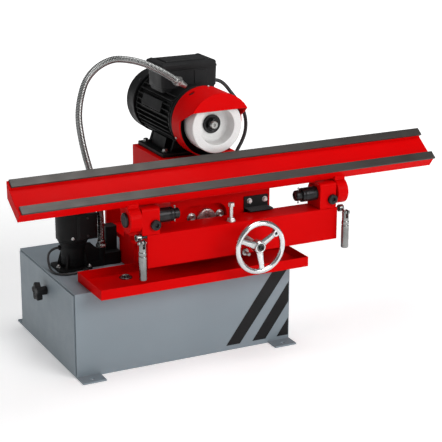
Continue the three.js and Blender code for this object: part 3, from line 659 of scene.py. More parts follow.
# ---------------------------------------------------------------- cabinet and tray
STRIPE_DEPTH = 0.35
STRIPES = [  # (x, z) on the cabinet's front, from its left bottom corner round
    [(103, 12), (139, 12), (268, 184.7), (268, 196), (237, 196)],
    [(172, 12), (207, 12), (268, 97), (268, 147)],
    [(237, 12), (268, 12), (268, 56)],
]


def add_cabinet():
    refined("base_cabinet", "grey_paint", 1.1)
    refined("side_panel", "grey_paint", 0.9)
    front = corners("side_panel")[0].y - 4  # the panel stops 4 mm short of the front

    def stripes(bm):
        for outline in STRIPES:
            prism(bm, outline, "y", front - STRIPE_DEPTH, front - 0.02)

    new_piece("cabinet_stripes", "black_plastic", stripes, body="root")
    refined("drip_tray", "red_paint", 0.9)
    refined("coolant_tank", "galvanised_steel", 0.8)


def add_panel_knob():
    low, high, centre = measured("panel_knob")
    at = (high.x, centre.y, centre.z)
    face = high.x - low.x - 29  # the head is 29 mm long
    star = lobes(5, 0.2)

    def knob(bm):
        neck = [(0, 0), (0, 4), (face, 4), (face, 10), (face + 15, 10), (face + 15, 0)]
        lathe(bm, at, (-1, 0, 0), eased(neck, 0.8), 40)
        head = [(face + 14, 0), (face + 14, 14, star), (face + 15.5, 18, star), (face + 26, 19, star),
                (face + 28, 17.4, star), (face + 28.8, 12, star), (face + 27.6, 9), (face + 27.6, 0)]
        lathe(bm, at, (-1, 0, 0), head, 80)

    new_piece("panel_star_knob", "black_plastic", knob, "panel_knob")


def add_strainer():
    low, high, centre = measured("drain_strainer")
    top = high.z
    ribs = 10

    def strainer(bm):
        stem = [(low.z, 8), (low.z, 10), (top - 2.5, 10), (top - 2.5, 15),
                (top - 0.6, 15), (top, 13.6), (top, 8)]
        lathe(bm, (centre.x, centre.y, 0), "z", stem, 48, closed=True)
        for i in range(ribs):
            way = level_radial(TAU * i / ribs)[0]
            arch = [way * (9.6 * math.cos(t)) + Vector((centre.x, centre.y, top - 0.4 + 5.2 * math.sin(t)))
                    for t in (TAU / 4 * k / 6 for k in range(7))]
            sweep(bm, arch, lambda _: 1.0, 8)
        pan_head(bm, (centre.x, centre.y, top + 3.6), "z", 3.6, 2.2)

    new_piece("strainer_basket", "chrome", strainer, "drain_strainer")


add_cabinet()
add_panel_knob()
add_strainer()


# ---------------------------------------------------------------- motor
SPINDLE = middle("spindle_shaft")
SHAFT_LINE = Vector((SPINDLE.x, 0, SPINDLE.z))  # the spindle's axis, with distances along it from y = 0
MOTOR_RADIUS = 76  # over the fins
MOTOR_FRONT, MOTOR_BACK = -14.0, 178.0  # the drum's ends
BEARING_BORE = 20.4


def add_column():
    refined("bed", "red_paint", 1.6)
    refined("motor_column", "red_paint", 1.6)


def add_motor_housing():
    low, high = corners("motor_housing")
    y0, y1 = MOTOR_FRONT, MOTOR_BACK
    tip, root, bore = MOTOR_RADIUS, 67.0, 64.0
    foot_top = low.z + 9 - GAP
    fins = 36

    def drum(bm):
        rim = 73
        band = [(y0, bore), (y0, rim), (y0 + 7, rim), (y0 + 8, root), (y1 - 8, root), (y1 - 7, rim),
                (y1, rim), (y1, bore)]
        turned_ring(bm, SHAFT_LINE, "y", band, 0.8, 2, 96)
        for i in range(fins):
            away, side = radial(TAU * (i + 0.5) / fins)
            if away.z > 0.80:  # under the terminal box
                continue
            foot, crest = 2.3, 1.3
            outline = [away * (root - 2) - side * foot, away * (tip - 0.7) - side * crest, away * tip,
                       away * (tip - 0.7) + side * crest, away * (root - 2) + side * foot]
            closed_skin(bm, [[SHAFT_LINE + p + Vector((0, y, 0)) for p in outline] for y in (y0 + 5, y1 - 5)])

    def feet(bm):
        outline = rounded_rectangle(low.x, high.x, -11.5, 136, 5)
        prism(bm, outline, "z", low.z, foot_top)
        for side in (-1, 1):
            x = SPINDLE.x
            base = foot_top - 2
            web = [(66, base), (30, base), (30, 466), (46, 476), (58, 470)]
            prism(bm, [(x + side * reach, z) for reach, z in web], "y", 34, 106)
            for y in (8, 128):
                rib = [(60, base), (34, base), (36, 470), (50, 472)]
                prism(bm, [(x + side * reach, z) for reach, z in rib], "y", y - 4, y + 4)

    def pad(bm):
        away, side = radial(math.radians(163))
        face = tip + 0.4
        outline = [away * (root - 3) - side * 15, away * face - side * 13, away * face + side * 13,
                   away * (root - 3) + side * 15]
        closed_skin(bm, [[SHAFT_LINE + p + Vector((0, y, 0)) for p in outline] for y in (30, 138)])

    def whole(bm):
        drum(bm)
        feet(bm)
        pad(bm)

    new_piece("motor_finned_body", "black_paint", whole, "motor_housing", bevel=0.6)

    def bolts(bm):
        for side in (-1, 1):
            for y in (10, 121):
                at = (SPINDLE.x + side * 73, y, foot_top)
                washer(bm, at, "z", 8, 2)
                hex_head(bm, (at[0], at[1], foot_top + 2), "z", 11.5, 5.5)

    new_piece("motor_foot_bolts", "bright_steel", bolts, body="root")


def add_end_shields():
    front, back = corners("front_shield"), corners("rear_shield")

    def front_bell(bm):
        y0, y1 = front[0].y, MOTOR_FRONT - GAP
        ring = [(y1, BEARING_BORE), (y1, 72), (y1 - 9, 72), (y0 + 4, 62), (y0, 58), (y0, BEARING_BORE)]
        turned_ring(bm, SHAFT_LINE, "y", ring, 2.0, 3, 80)
        for i in range(12):
            away = radial(TAU * (i + 0.5) / 12)[0]
            start, stop = SHAFT_LINE + away * 60, SHAFT_LINE + away * 71
            sweep(bm, [start + Vector((0, y0 + 3, 0)), stop + Vector((0, y1 - 6, 0))], lambda _: 2.2, 8)

    new_piece("front_end_bell", "black_paint", front_bell, "front_shield", bevel=0.4)

    def rear_bell(bm):
        y0, step, y1 = back[0].y, MOTOR_BACK + GAP, back[1].y
        ring = [(y0, BEARING_BORE), (y0, 63), (step, 63), (step, 71.5), (y1, 71.5), (y1, BEARING_BORE)]
        turned_ring(bm, SHAFT_LINE, "y", ring, 1.0, 2, 64)

    new_piece("rear_end_bell", "black_paint", rear_bell, "rear_shield")


GRILLE = {"centre": 13.0, "rings": (20, 26, 32, 38, 44, 50, 56), "edge": 61.0, "spokes": 6, "thick": 1.8}


def add_fan_cowl():
    low, high = corners("fan_cowl")
    y0, y1, outer = low.y, high.y, (high.x - low.x) / 2
    thick = GRILLE["thick"]

    def shell(bm):
        edge = GRILLE["edge"]
        outside = [(y0, outer - 6), (y0, outer), (y0 + 5, outer), (y0 + 6, outer - 0.8),
                   (y1 - 11, outer - 0.8), (y1 - 5, outer - 3), (y1 - 1, outer - 8), (y1, outer - 12),
                   (y1, edge)]
        inside = [(y1 - thick, edge), (y1 - thick, outer - 13), (y1 - 7, outer - 5.2), (y1 - 13, outer - 2.6),
                  (y0 + 3, outer - 2.6), (y0 + 3, outer - 6)]
        turned_ring(bm, SHAFT_LINE, "y", outside + inside, 2.0, 3, 96)

    def grille(bm):
        y = y1 - thick
        centre = GRILLE["centre"]
        lathe(bm, SHAFT_LINE, "y", eased([(y - 1, 0), (y - 1, centre), (y1, centre), (y1, 0)], 0.8), 48)
        for radius in GRILLE["rings"]:
            wire = [(y, radius - 1.1), (y, radius + 1.1), (y1 - 0.3, radius + 1.1), (y1 - 0.3, radius - 1.1)]
            lathe(bm, SHAFT_LINE, "y", wire, 72, closed=True)
        for i in range(GRILLE["spokes"]):
            away, side = radial(TAU * i / GRILLE["spokes"])
            hub = SHAFT_LINE + Vector((0, y - 0.6, 0))
            ends = (centre - 2, GRILLE["edge"] + 1)
            loft(bm, [(hub + away * reach, side * 2.2, Vector((0, 1.4, 0))) for reach in ends], 10)

    def whole(bm):
        shell(bm)
        grille(bm)

    new_piece("fan_cowl_grille", "black_paint", whole, "fan_cowl")

    def screws(bm):
        for i in range(4):
            away = radial(TAU * (i + 0.5) / 4)[0]
            at = SHAFT_LINE + away * (outer - 0.9) + Vector((0, y0 + 11, 0))
            pan_head(bm, at, away, 3.2, 1.6)

    new_piece("fan_cowl_screws", "black_oxide", screws, body="root")


def levels(bm, low, high, steps):
    """A closed skin over rounded rectangles, one above the other; each step is (inset, corner radius, z)."""
    outlines = []
    for inset, radius, z in steps:
        outline = rounded_rectangle(low.x + inset, high.x - inset, low.y + inset, high.y - inset, radius)
        outlines.append([(x, y, z) for x, y in outline])
    closed_skin(bm, outlines)


def add_terminal_box():
    low, high = corners("terminal_box")
    lid_low, lid_high = corners("terminal_lid")
    motor_top = SPINDLE.z + MOTOR_RADIUS
    flange = 6

    def shell(bm):
        steps = ((5, 9, motor_top - 26), (4, 9, low.z + 8), (2, 9, low.z + 9), (1, 9, high.z - flange),
                 (0, 10, high.z - flange + 1), (0, 10, high.z))
        levels(bm, low, high, steps)
        for share in (0.16, 0.58):
            x = low.x + (high.x - low.x) * share
            prism(bm, rounded_rectangle(x, x + 34, low.z + 18, high.z - 10, 3), "y", low.y - 0.4, low.y + 3)

    new_piece("terminal_box_shell", "black_plastic", shell, "terminal_box", bevel=1.0)

    cover = lid_high.z - 3  # the lid's own top, below its raised middle
    posts = [(x, y) for x in (lid_low.x + 12, lid_high.x - 12) for y in (lid_low.y + 12, lid_high.y - 12)]

    def lid(bm):
        edge = ((0, 11, lid_low.z), (0, 11, cover - 4), (2, 9, cover - 1), (5, 8, cover))
        levels(bm, lid_low, lid_high, edge)
        raised = ((21, 4, cover - 1), (21, 4, cover + 1.4), (23, 3, lid_high.z))
        levels(bm, lid_low, lid_high, raised)
        for x, y in posts:
            post = [(cover - 2, 0), (cover - 2, 7), (cover + 1, 6.4), (cover + 1, 0)]
            lathe(bm, (x, y, 0), "z", eased(post, 0.8), 28)

    new_piece("terminal_box_lid", "black_plastic", lid, "terminal_lid", bevel=0.8)

    def screws(bm):
        for x, y in posts:
            pan_head(bm, (x, y, cover + 0.8), "z", 3.8, 1.7)

    new_piece("terminal_lid_screws", "black_oxide", screws, body="root")


def gland(bm, at, axis, flats, neck, length):
    """A cable gland: hexagon base, ribbed clamping nut and a rubber lip."""
    half = flats / 2
    lathe(bm, at, axis, [(0, 0), (0, half, hexagon), (5, half, hexagon), (5.6, half - 0.8), (5.6, 0)], 48)
    grip = lobes(14, 0.035)
    cap = [(5.6, 0), (5.6, neck, grip), (length - 5, neck, grip), (length - 2, neck * 0.86, grip),
           (length, neck * 0.66), (length, 0)]
    lathe(bm, at, axis, cap, 84)


def add_glands():
    face, tip = corners("terminal_box")[1].x + GAP, corners("cable_gland")[1].x
    centre = middle("cable_gland")
    new_piece("motor_cable_gland", "black_plastic",
              lambda bm: gland(bm, (face, centre.y, centre.z), "x", 16, 7.2, tip - face), "cable_gland")
    base_low, base_high, base = measured("base_gland")
    new_piece("cabinet_cable_gland", "black_plastic",
              lambda bm: gland(bm, (base.x, base.y, base_low.z), "z", 19, 7.8, base_high.z - base_low.z),
              "base_gland")
    low, high, centre = measured("cable_elbow")

    def elbow(bm):
        prism(bm, rounded_rectangle(low.x + 2, high.x, low.y, high.y, 3), "z", low.z, low.z + 3)
        body = [(low.z + 3, 0), (low.z + 3, 6), (high.z - 3, 5.6), (high.z, 4), (high.z, 0)]
        lathe(bm, (high.x - 8, centre.y, 0), "z", eased(body, 1.2), 32)
        spout = [(0, 0), (0, 4.6), (8, 4.6), (8, 0)]
        lathe(bm, (low.x, PUMP_CABLE[-1][1], PUMP_CABLE[-1][2]), "x", eased(spout, 0.8), 28)

    new_piece("pump_cable_elbow", "black_plastic", elbow, "cable_elbow")


def add_spindle():
    low, high = corners("spindle_shaft")

    def shaft(bm):
        pitch, crest, root, plain = 1.75, 9.3, 8.3, 9.5
        thread = []
        y = low.y + 2
        while y < low.y + 16:
            thread += [(y, crest), (y + pitch * 0.5, root)]
            y += pitch
        end = [(low.y + 5, 0), (low.y + 1, 2.6), (low.y, 3.4), (low.y, 7.6), (low.y + 1.4, crest)]
        shoulder = [(-86, plain), (-62, plain), (-62, 14), (-44, 14), (-44, plain)]
        rotor = [(20, plain), (20, 34), (140, 34), (140, plain), (high.y, plain), (high.y, 0)]
        lathe(bm, SHAFT_LINE, "y", [*end, *thread, *shoulder, *rotor], 48)

    new_piece("spindle_and_rotor", "bright_steel", shaft, "spindle_shaft")
    for node in ("front_bearing", "rear_bearing", "inner_flange"):
        refined(node, "bright_steel", 0.5)
    refined("cooling_fan", "black_plastic", 0.4)


def add_wheel():
    low, high = corners("cup_wheel")
    outer, cup = (high.x - low.x) / 2, 42.0
    floor = corners("outer_flange")[1].y + GAP
    web = [(low.y, cup + 1.2), (low.y, outer - 1.5), (low.y + 1.5, outer), (high.y - 2, outer),
           (high.y, outer - 2), (high.y, 10), (floor, 10), (floor, cup - 6), (floor - 3, cup - 1.5)]
    turned("cup_grinding_wheel", "abrasive", SHAFT_LINE, "y", eased(web, 1.6, 3, closed=True), "cup_wheel",
           96, True)

    low, high = corners("outer_flange")
    disc = [(high.y, 9.9), (high.y, 22), (low.y + 1.5, 22), (low.y, 20.5), (low.y, 16.5), (low.y + 0.6, 15.5),
            (low.y + 0.6, 9.9)]
    disc = eased(disc, 0.5, 2, closed=True)
    turned("wheel_clamp_flange", "black_oxide", SHAFT_LINE, "y", disc, "outer_flange", 72, True)

    low, high = corners("spindle_nut")
    flats = 12.1
    nut = [(high.y, 9.9), (high.y, flats - 0.2), (high.y - 0.6, flats, hexagon),
           (low.y + 1.6, flats, hexagon), (low.y + 0.8, flats * 0.99, hexagon),
           (low.y, flats - 0.4), (low.y, 10.8), (low.y + 1, 9.9)]
    turned("wheel_nut", "black_oxide", SHAFT_LINE, "y", nut, "spindle_nut", 72, True, bevel=0.2)


def add_guard():
    refined("wheel_guard", "red_paint", 0.9)
    refined("guard_visor", "red_paint", 0.9)
    inside, back, front = 76.7, -45.4, -84  # the guard's inner radius, its back wall and its cut front edge
    # A thin black sheet inside the guard: painted shade for the shadow that fills the guard's inside. The
    # guard has no such part.
    painted_shade_sheet = [(front, inside), (back, inside), (back, 24), (back - 1, 24), (back - 1, inside - 1),
              (front, inside - 1)]
    turned("guard_painted_shade_sheet", "black_plastic", SHAFT_LINE, "y", painted_shade_sheet, None, 96, True, body="root")

    def screws(bm):
        for degrees, y in ((205, -52), (82, -50), (35, -52)):
            away = radial(math.radians(degrees))[0]
            pan_head(bm, SHAFT_LINE + away * 79.9 + Vector((0, y, 0)), away, 3.4, 2)

    new_piece("guard_screws", "galvanised_steel", screws, body="root")


add_column()
add_motor_housing()
add_end_shields()
add_fan_cowl()
add_terminal_box()
add_glands()
add_spindle()
add_wheel()
add_guard()


# ---------------------------------------------------------------- coolant pump and hose
HOSE = [
    (-141, -20, 263.8), (-141, -20, 285), (-141, -20, 312), (-144, -21, 345), (-152, -23, 380),
    (-165, -26, 425), (-178, -29, 470), (-188, -32, 515), (-194, -36, 560), (-190, -40, 605),
    (-176, -43, 645), (-150, -46, 672), (-114, -49, 686), (-75, -51, 682), (-40, -54, 671),
    (-8, -57, 655), (12, -59, 643), (30, -60, 631),
]
HOSE_PITCH = 3.6  # one ridge of the wound strip
NOZZLE_START = Vector((30.4, -60, 630.8))
NOZZLE_WAY = Vector((18, -0.9, -12)).normalized()


def add_pump():
    motor_low, motor_high = corners("pump_motor")
    base_low, base_high = corners("pump_base")
    x, y = middle("pump_rotor")[:2]
    radius = x - motor_low.x  # the motor's body; its joint box reaches further to the right
    top, throat, neck = CABINET_TOP, motor_low.z - GAP, 29
    cable, (outlet_x, outlet_y) = PUMP_CABLE[0], HOSE[0][:2]

    def rib(bm, degrees):
        """A thin triangular web between flange and throat."""
        away, side = level_radial(math.radians(degrees))
        side = side * 2.4  # half the web's thickness
        rings = []
        for reach, z in ((40, top + 4), (30, top + 40)):
            foot = Vector((x, y, z))
            inner, outer = foot + away * 24, foot + away * reach
            rings.append([inner - side, outer - side, outer + side, inner + side])
        closed_skin(bm, rings)

    def base(bm):
        prism(bm, rounded_rectangle(x - 46, x + 36, y - 38, y + 36, 9, 5), "z", top, top + 5)
        stem = [(base_low.z + 6, 0), (base_low.z + 6, 27), (62, 27), (64, 20), (top + 4, 20), (top + 5, 27)]
        column = [(top + 20, 27), (top + 26, neck - 1), (throat - 14, neck), (throat, radius - 4),
                  (throat, 0)]
        lathe(bm, (x, y, 0), "z", eased(stem + column, 1.6, 3), 64)
        for degrees in (45, 135, 225, 315):
            rib(bm, degrees)
        outlet = [(top, 0), (top, 8.5), (242, 8.5), (243, 9.6), (246, 9.6), (246, 0)]
        lathe(bm, (outlet_x, outlet_y, 0), "z", eased(outlet, 0.8), 40)
        arm = rounded_rectangle(x + 16, outlet_x + 7, outlet_y - 6, outlet_y + 6, 4)
        prism(bm, arm, "z", top, top + 13)
        prism(bm, rounded_rectangle(outlet_x - 4, base_high.x, outlet_y - 6, 25, 5), "z", top, top + 29)
        prism(bm, rounded_rectangle(base_high.x - 28, base_high.x, -5, 25, 5), "z", top, base_high.z)
        web = [(x + 20, top + 2), (outlet_x + 2, top + 2), (outlet_x + 2, 236), (x + 44, 250),
               (x + 34, throat - 6), (x + 20, throat - 6)]
        prism(bm, web, "y", outlet_y - 3, outlet_y + 3)
        spout = [(0, 0), (0, 4.6), (2, 6), (9, 6), (9, 0)]
        lathe(bm, (cable[0] + 0.4, cable[1], cable[2]), "x", eased(spout, 0.8), 28)

    new_piece("pump_body", "black_paint", base, "pump_base", bevel=0.5)

    box_low, box_high = motor_low.z + 9, motor_low.z + 69

    def motor(bm):
        z0, z1 = motor_low.z, motor_high.z
        shell = [(z0, 0), (z0, radius - 3), (z0 + 4, radius - 3), (z0 + 5, radius), (z1 - 22, radius)]
        cap = [(z1 - 21, radius - 1.6), (z1 - 18, radius - 1.6), (z1 - 17, radius - 0.6),
               (z1 - 8, radius - 4), (z1 - 2, radius - 12), (z1, radius - 20), (z1, 0)]
        lathe(bm, (x, y, 0), "z", eased(shell + cap, 1.6, 3), 72)
        ribs = 18
        for i in range(ribs):
            away, side = level_radial(TAU * i / ribs)
            if away.x < -0.86 or away.y < -0.4:  # none at the far left or in front
                continue
            place = Vector((x, y, 0)) + away * (radius - 0.6)
            loft(bm, [(place + Vector((0, 0, z)), side * 1.3, away * 1.2) for z in (z0 + 14, z1 - 24)], 10)
        prism(bm, rounded_rectangle(x - 4, motor_high.x, motor_low.y + 1.2, -18, 4), "z", box_low, box_high)
        prism(bm, rounded_rectangle(x - 1, motor_high.x - 3, motor_low.y, -28, 4), "z", box_low + 3,
              box_high - 3)

    new_piece("pump_motor_shell", "black_paint", motor, "pump_motor", bevel=0.7)

    def screws(bm):
        for sx, sy in ((-38, -4), (28, -30), (28, 28)):
            washer(bm, (x + sx, y + sy, top + 5), "z", 5.5, 1)
            socket_head(bm, (x + sx, y + sy, top + 6), "z", 3.8, 4)
        away = level_radial(math.radians(250))[0]
        pan_head(bm, Vector((x, y, motor_low.z + 13)) + away * (radius - 0.2), away, 3.6, 2)

    new_piece("pump_screws", "galvanised_steel", screws, body="root")

    def box_screws(bm):
        for z in (box_low + 9, box_high - 9):
            pan_head(bm, (x + 21, motor_low.y + 0.1, z), (0, -1, 0), 3, 1.6)

    new_piece("pump_box_screws", "black_oxide", box_screws, body="root")
    refined("pump_rotor", "bright_steel", 0.3)


def add_hose():
    low, high, (x, y, _) = measured("hose_fitting")

    def fitting(bm):
        z0, z1 = low.z, high.z
        nut = [(z0, 0), (z0, 11.6, hexagon), (z0 + 6.4, 11.6, hexagon), (z0 + 7.6, 11.4), (z0 + 7.6, 0)]
        lathe(bm, (x, y, 0), "z", nut, 60)
        collar = [(z0 + 7, 0), (z0 + 7, 9.4), (z1 - 5, 9.8), (z1 - 3, 10), (z1, 8.8), (z1, 0)]
        lathe(bm, (x, y, 0), "z", eased(collar, 0.8), 48)

    new_piece("hose_union_nut", "chrome", fitting, "hose_fitting", bevel=0.3)

    steps = 6
    line = even_steps(flowing(HOSE, 40), HOSE_PITCH / steps)
    shape = (7.2, 7.45, 7.9, 8.0, 7.9, 7.45)  # radii over one ridge

    new_piece("gooseneck_wound_hose", "chrome",
              lambda bm: sweep(bm, line, lambda i: shape[i % steps], 20), "gooseneck_hose")

    start, heading = NOZZLE_START, NOZZLE_WAY

    def nozzle(bm):
        knurl = lobes(24, 0.025)
        ferrule = [(0, 0), (0, 8.4), (1, 9), (6, 9), (6.5, 8.2), (6.5, 0)]
        lathe(bm, start, heading, eased(ferrule, 0.5), 40)
        nut = [(6, 0), (6, 10.6, hexagon), (13, 10.6, hexagon), (14.2, 10.2), (14.2, 0)]
        lathe(bm, start, heading, nut, 60)
        lathe(bm, start, heading, [(14, 0), (14, 8.4, knurl), (18, 8.4, knurl), (19, 7.6), (19, 0)], 96)
        tip = [(18, 0), (18, 7.4), (31.5, 5.8), (33, 5.4), (33, 3.8), (27, 3.8), (27, 0)]
        lathe(bm, start, heading, eased(tip, 0.4), 40)

    new_piece("coolant_nozzle", "bright_steel", nozzle, "hose_nozzle", bevel=0.2)


add_pump()
add_hose()


# ---------------------------------------------------------------- saddle and beam
def add_saddle():
    low = corners("saddle")[0]
    refined("saddle", "red_paint", 2.0)
    roller_low, roller_high, roller = measured("window_roller")
    radius = (roller_high.x - roller_low.x) / 2

    back, front = roller_high.y, roller_low.y
    disc = [(back, 0), (back, radius), (front + 2, radius), (front, radius - 2), (front, 9),
            (front + 1.2, 8), (front + 1.2, 0)]
    turned("window_roller_disc", "galvanised_steel", (roller.x, 0, roller.z), "y", eased(disc, 0.6),
           "window_roller", 72)

    def window_bolts(bm):
        floor = roller_high.y + 0.2  # the bottom of the window
        for side in (-1, 1):
            place = (roller.x + side * 36, floor, roller.z + 4)
            washer(bm, place, (0, -1, 0), 11, 2)
            socket_head(bm, (place[0], floor - 2, place[2]), (0, -1, 0), 7, 7)

    new_piece("window_bolts", "galvanised_steel", window_bolts, body="carriage")

    cover_low, cover_high = corners("way_cover")
    face = low.y - GAP

    def cover(bm):
        plate = rounded_rectangle(cover_low.x, cover_high.x, cover_low.z, cover_high.z, 2)
        prism(bm, plate, "y", face - 3, face)
        waves, steps, amplitude, height = 9, 8, 1.5, 330
        half = 0.6  # half the sheet's thickness
        rings = []
        count = waves * steps
        left, right = cover_low.x + 2, cover_high.x
        for i in range(count + 1):
            y = face - 2 + (cover_low.y - face + 2) * i / count
            wave = height + amplitude * math.sin(TAU * i / steps)
            under, over = wave - half, wave + half
            rings.append([(left, y, under), (right, y, under), (right, y, over), (left, y, over)])
        closed_skin(bm, rings)

    new_piece("way_cover_plate", "black_plastic", cover, "way_cover", bevel=0.3)

    def cover_bolts(bm):
        for x in (cover_low.x + 13, cover_high.x - 9):
            washer(bm, (x, face - 3, cover_high.z - 11), (0, -1, 0), 6.5, 1.4)
            hex_head(bm, (x, face - 4.4, cover_high.z - 11), (0, -1, 0), 9, 4.5)

    new_piece("way_cover_bolts", "galvanised_steel", cover_bolts, body="carriage")


def add_beam():
    refined("beam", "red_paint", 1.8)
    for side in ("left", "right"):
        refined(f"ear_{side}", "red_paint", 1.8)
        guide = f"guide_bar_{side}"
        low, high, at = measured(guide)
        radius = (high.x - low.x) / 2
        bar = eased([(low.y, 0), (low.y, radius), (high.y, radius), (high.y, 0)], 1.2)
        turned(f"guide_bar_{side}_ground", "bright_steel", (at.x, 0, at.z), "y", bar, guide, 48)
        add_ear_screw(side)
        add_trunnion(side)
        add_clamp_nut(side)
        add_lever(side)


def add_ear_screw(side):
    node = f"ear_screw_{side}"
    low, high, at = measured(node)
    radius = (high.x - low.x) / 2
    knurl = lobes(36, 0.018)
    y = low.y
    head = [(high.y, 0), (high.y, 5), (y + 8, 5), (y + 8, radius - 0.8), (y + 7.6, radius - 0.2, knurl),
            (y + 1.4, radius - 0.2, knurl), (y + 0.4, radius - 1), (y, radius - 1.6), (y, 6.6)]
    socket = [(y + 0.5, 5.4, hexagon), (y + 5, 5.4, hexagon), (y + 5, 0)]
    turned(f"ear_cap_screw_{side}", "black_oxide", (at.x, 0, at.z), "y", head + socket, node, 144)


def add_trunnion(side):
    node = f"trunnion_{side}"
    low, high, at = measured(node)
    outward = -1 if side == "left" else 1
    start = low.x if outward < 0 else high.x
    length = high.x - low.x
    cap = [(0, 0), (0, 6), (0.8, 6.8), (0.8, 13), (0, 14), (0, 15.6), (1.2, 17), (4.4, 17), (5, 16.4)]
    profile = eased([*cap, (5, 11), (length, 11), (length, 0)], 0.4, 2)
    turned(f"trunnion_cap_{side}", "black_oxide", (start, at.y, at.z), (-outward, 0, 0), profile, node)


def add_clamp_nut(side):
    node = f"clamp_nut_{side}"
    low, high, at = measured(node)
    inward = 1 if side == "left" else -1
    start = low.x if inward > 0 else high.x

    drum = [(0, 0), (0, 15.6), (0.8, 16.4), (30, 16.4), (31, 15.6), (32, 15.6), (33, 16.4), (38.4, 16.4)]
    nose = [(39.4, 15.4), (39.4, 11.4), (41, 11.4), (42, 12.4), (53, 12.4), (54.6, 11), (54.6, 6), (53.4, 5),
            (53.4, 0)]
    profile = eased(drum + nose, 0.4, 2)
    turned(f"clamp_nut_drum_{side}", "black_oxide", (start, at.y, at.z), (inward, 0, 0), profile, node, 72)

    bar_x = start + inward * 45.6
    foot, head = low.z, high.z
    rod = [(foot, 0), (foot, 1.5), (foot + 1, 2.0), (foot + 2.6, 2.0), (foot + 3.2, 1.5),
           (head - 3.2, 1.5), (head - 2.6, 2.0), (head - 1, 2.0), (head, 1.5), (head, 0)]
    turned(f"tommy_bar_{side}", "bright_steel", (bar_x, at.y, 0), "z", rod, None, 20, body=NODE_BODY[node])


LEVER_HUB = (-213, 321)  # y and z of the stud that the link turns on
LEVER_PIN = (-236, 316)  # y and z of the pin that the grip hangs from


def add_lever(side):
    """A link on a stud in the beam's end, and a forked grip that hangs from the link's pin."""
    link, grip = f"lever_link_{side}", f"lever_grip_{side}"
    low, high = corners(grip)
    x = low.x + 11 if side == "left" else high.x - 11
    hub, pin = Vector((x, *LEVER_HUB)), Vector((x, *LEVER_PIN))
    link_low, link_high = corners(link)
    inward = 1 if side == "left" else -1
    stud_end = link_high.x if side == "left" else link_low.x

    def arm(bm):
        turned_ring(bm, hub, "x", [(-6, 4.4), (-6, 7.6), (-5, 8.5), (5, 8.5), (6, 7.6), (6, 4.4)], 0.5, 2, 48)
        way = (pin - hub).normalized()
        across = Vector((0, -way.z, way.y))
        stations = []
        for share in (0.24, 0.4, 0.55, 0.7, 0.85, 1.0):
            wide = 4.4 - 1.2 * math.sin(math.pi * min(1.0, share))
            stations.append((hub.lerp(pin, share), Vector((2.4, 0, 0)), across * wide))
        loft(bm, stations, 20)
        turned_ring(bm, pin, "x", [(-2.5, 2.6), (-2.5, 5.2), (2.5, 5.2), (2.5, 2.6)], 0.5, 2, 36)

    new_piece(f"lever_fork_link_{side}", "chrome", arm, link, bevel=0.2)

    reach = stud_end - x
    stud = [(-7.4 * inward, 0), (-7.4 * inward, 3.2), (-6.4 * inward, 4.3), (5.9 * inward, 4.3),
            (6.4 * inward, 3.7), (reach, 3.7), (reach, 0)]
    turned(f"lever_stud_{side}", "black_oxide", hub, "x", stud, None, 32, body=NODE_BODY[link])

    def handle(bm):
        z0, z1 = low.z, high.z
        hold = [(z0, 0), (z0, 7.6), (z0 + 1.4, 9), (z0 + 54, 9), (z0 + 55, 8.2), (z0 + 56.4, 8.2),
                (z0 + 57.4, 9)]
        fork = [(z1 - 28, 9), (z1 - 26.5, 8), (z1 - 6, 8), (z1 - 1.5, 6.4), (z1, 4), (z1, 0)]
        lathe(bm, (x, pin.y, 0), "z", eased(hold + fork, 0.5, 2), 48)

    def slot(bm):
        opening = rounded_rectangle(pin.y - 14, pin.y + 20, pin.z - 12, pin.z + 14, 2.9)
        prism(bm, opening, "x", x - 3, x + 3)

    new_piece(f"lever_handle_{side}", "chrome", handle, grip, bevel=0.25, cutters=[slot])

    def pivot(bm):
        outward = -inward
        lathe(bm, pin, "x", [(-8.6, 0), (-8.6, 2.3), (8.6, 2.3), (8.6, 0)], 20)
        head = [(7.4 * outward, 0), (7.4 * outward, 4), (10 * outward, 4), (11 * outward, 3),
                (11 * outward, 0)]
        lathe(bm, pin, "x", head, 32)

    new_piece(f"lever_pivot_{side}", "bright_steel", pivot, body=NODE_BODY[grip])


def add_small_screws():
    low, high, at = measured("lock_screw")
    knurl = lobes(30, 0.03)
    y0, y1 = low.y, high.y
    head = [(y1, 0), (y1, 7.4), (y1 - 0.8, 8, knurl), (y0 + 17.6, 8, knurl), (y0 + 17, 7)]
    shank = [(y0 + 17, 3), (y0 + 5, 3), (y0 + 4.4, 4.2), (y0 + 0.8, 4.2), (y0, 3.2), (y0, 0)]
    turned("lock_thumb_screw", "bright_steel", (at.x, 0, at.z), "y", head + shank, "lock_screw", 120)

    low, high, at = measured("stop_bolt")

    def bolt(bm):
        washer(bm, (at.x, at.y, low.z), "z", 11, 1.6)
        hex_head(bm, (at.x, at.y, low.z + 1.6), "z", 16.6, 6.4)
        shank = [(low.z + 6, 0), (low.z + 6, 4.5), (high.z - 7, 4.5), (high.z - 7, 0)]
        lathe(bm, (at.x, at.y, 0), "z", shank, 28)
        hex_head(bm, (at.x, at.y, high.z - 8), "z", 13.6, 8)

    new_piece("stop_bolt_and_nut", "galvanised_steel", bolt, "stop_bolt", bevel=0.25)


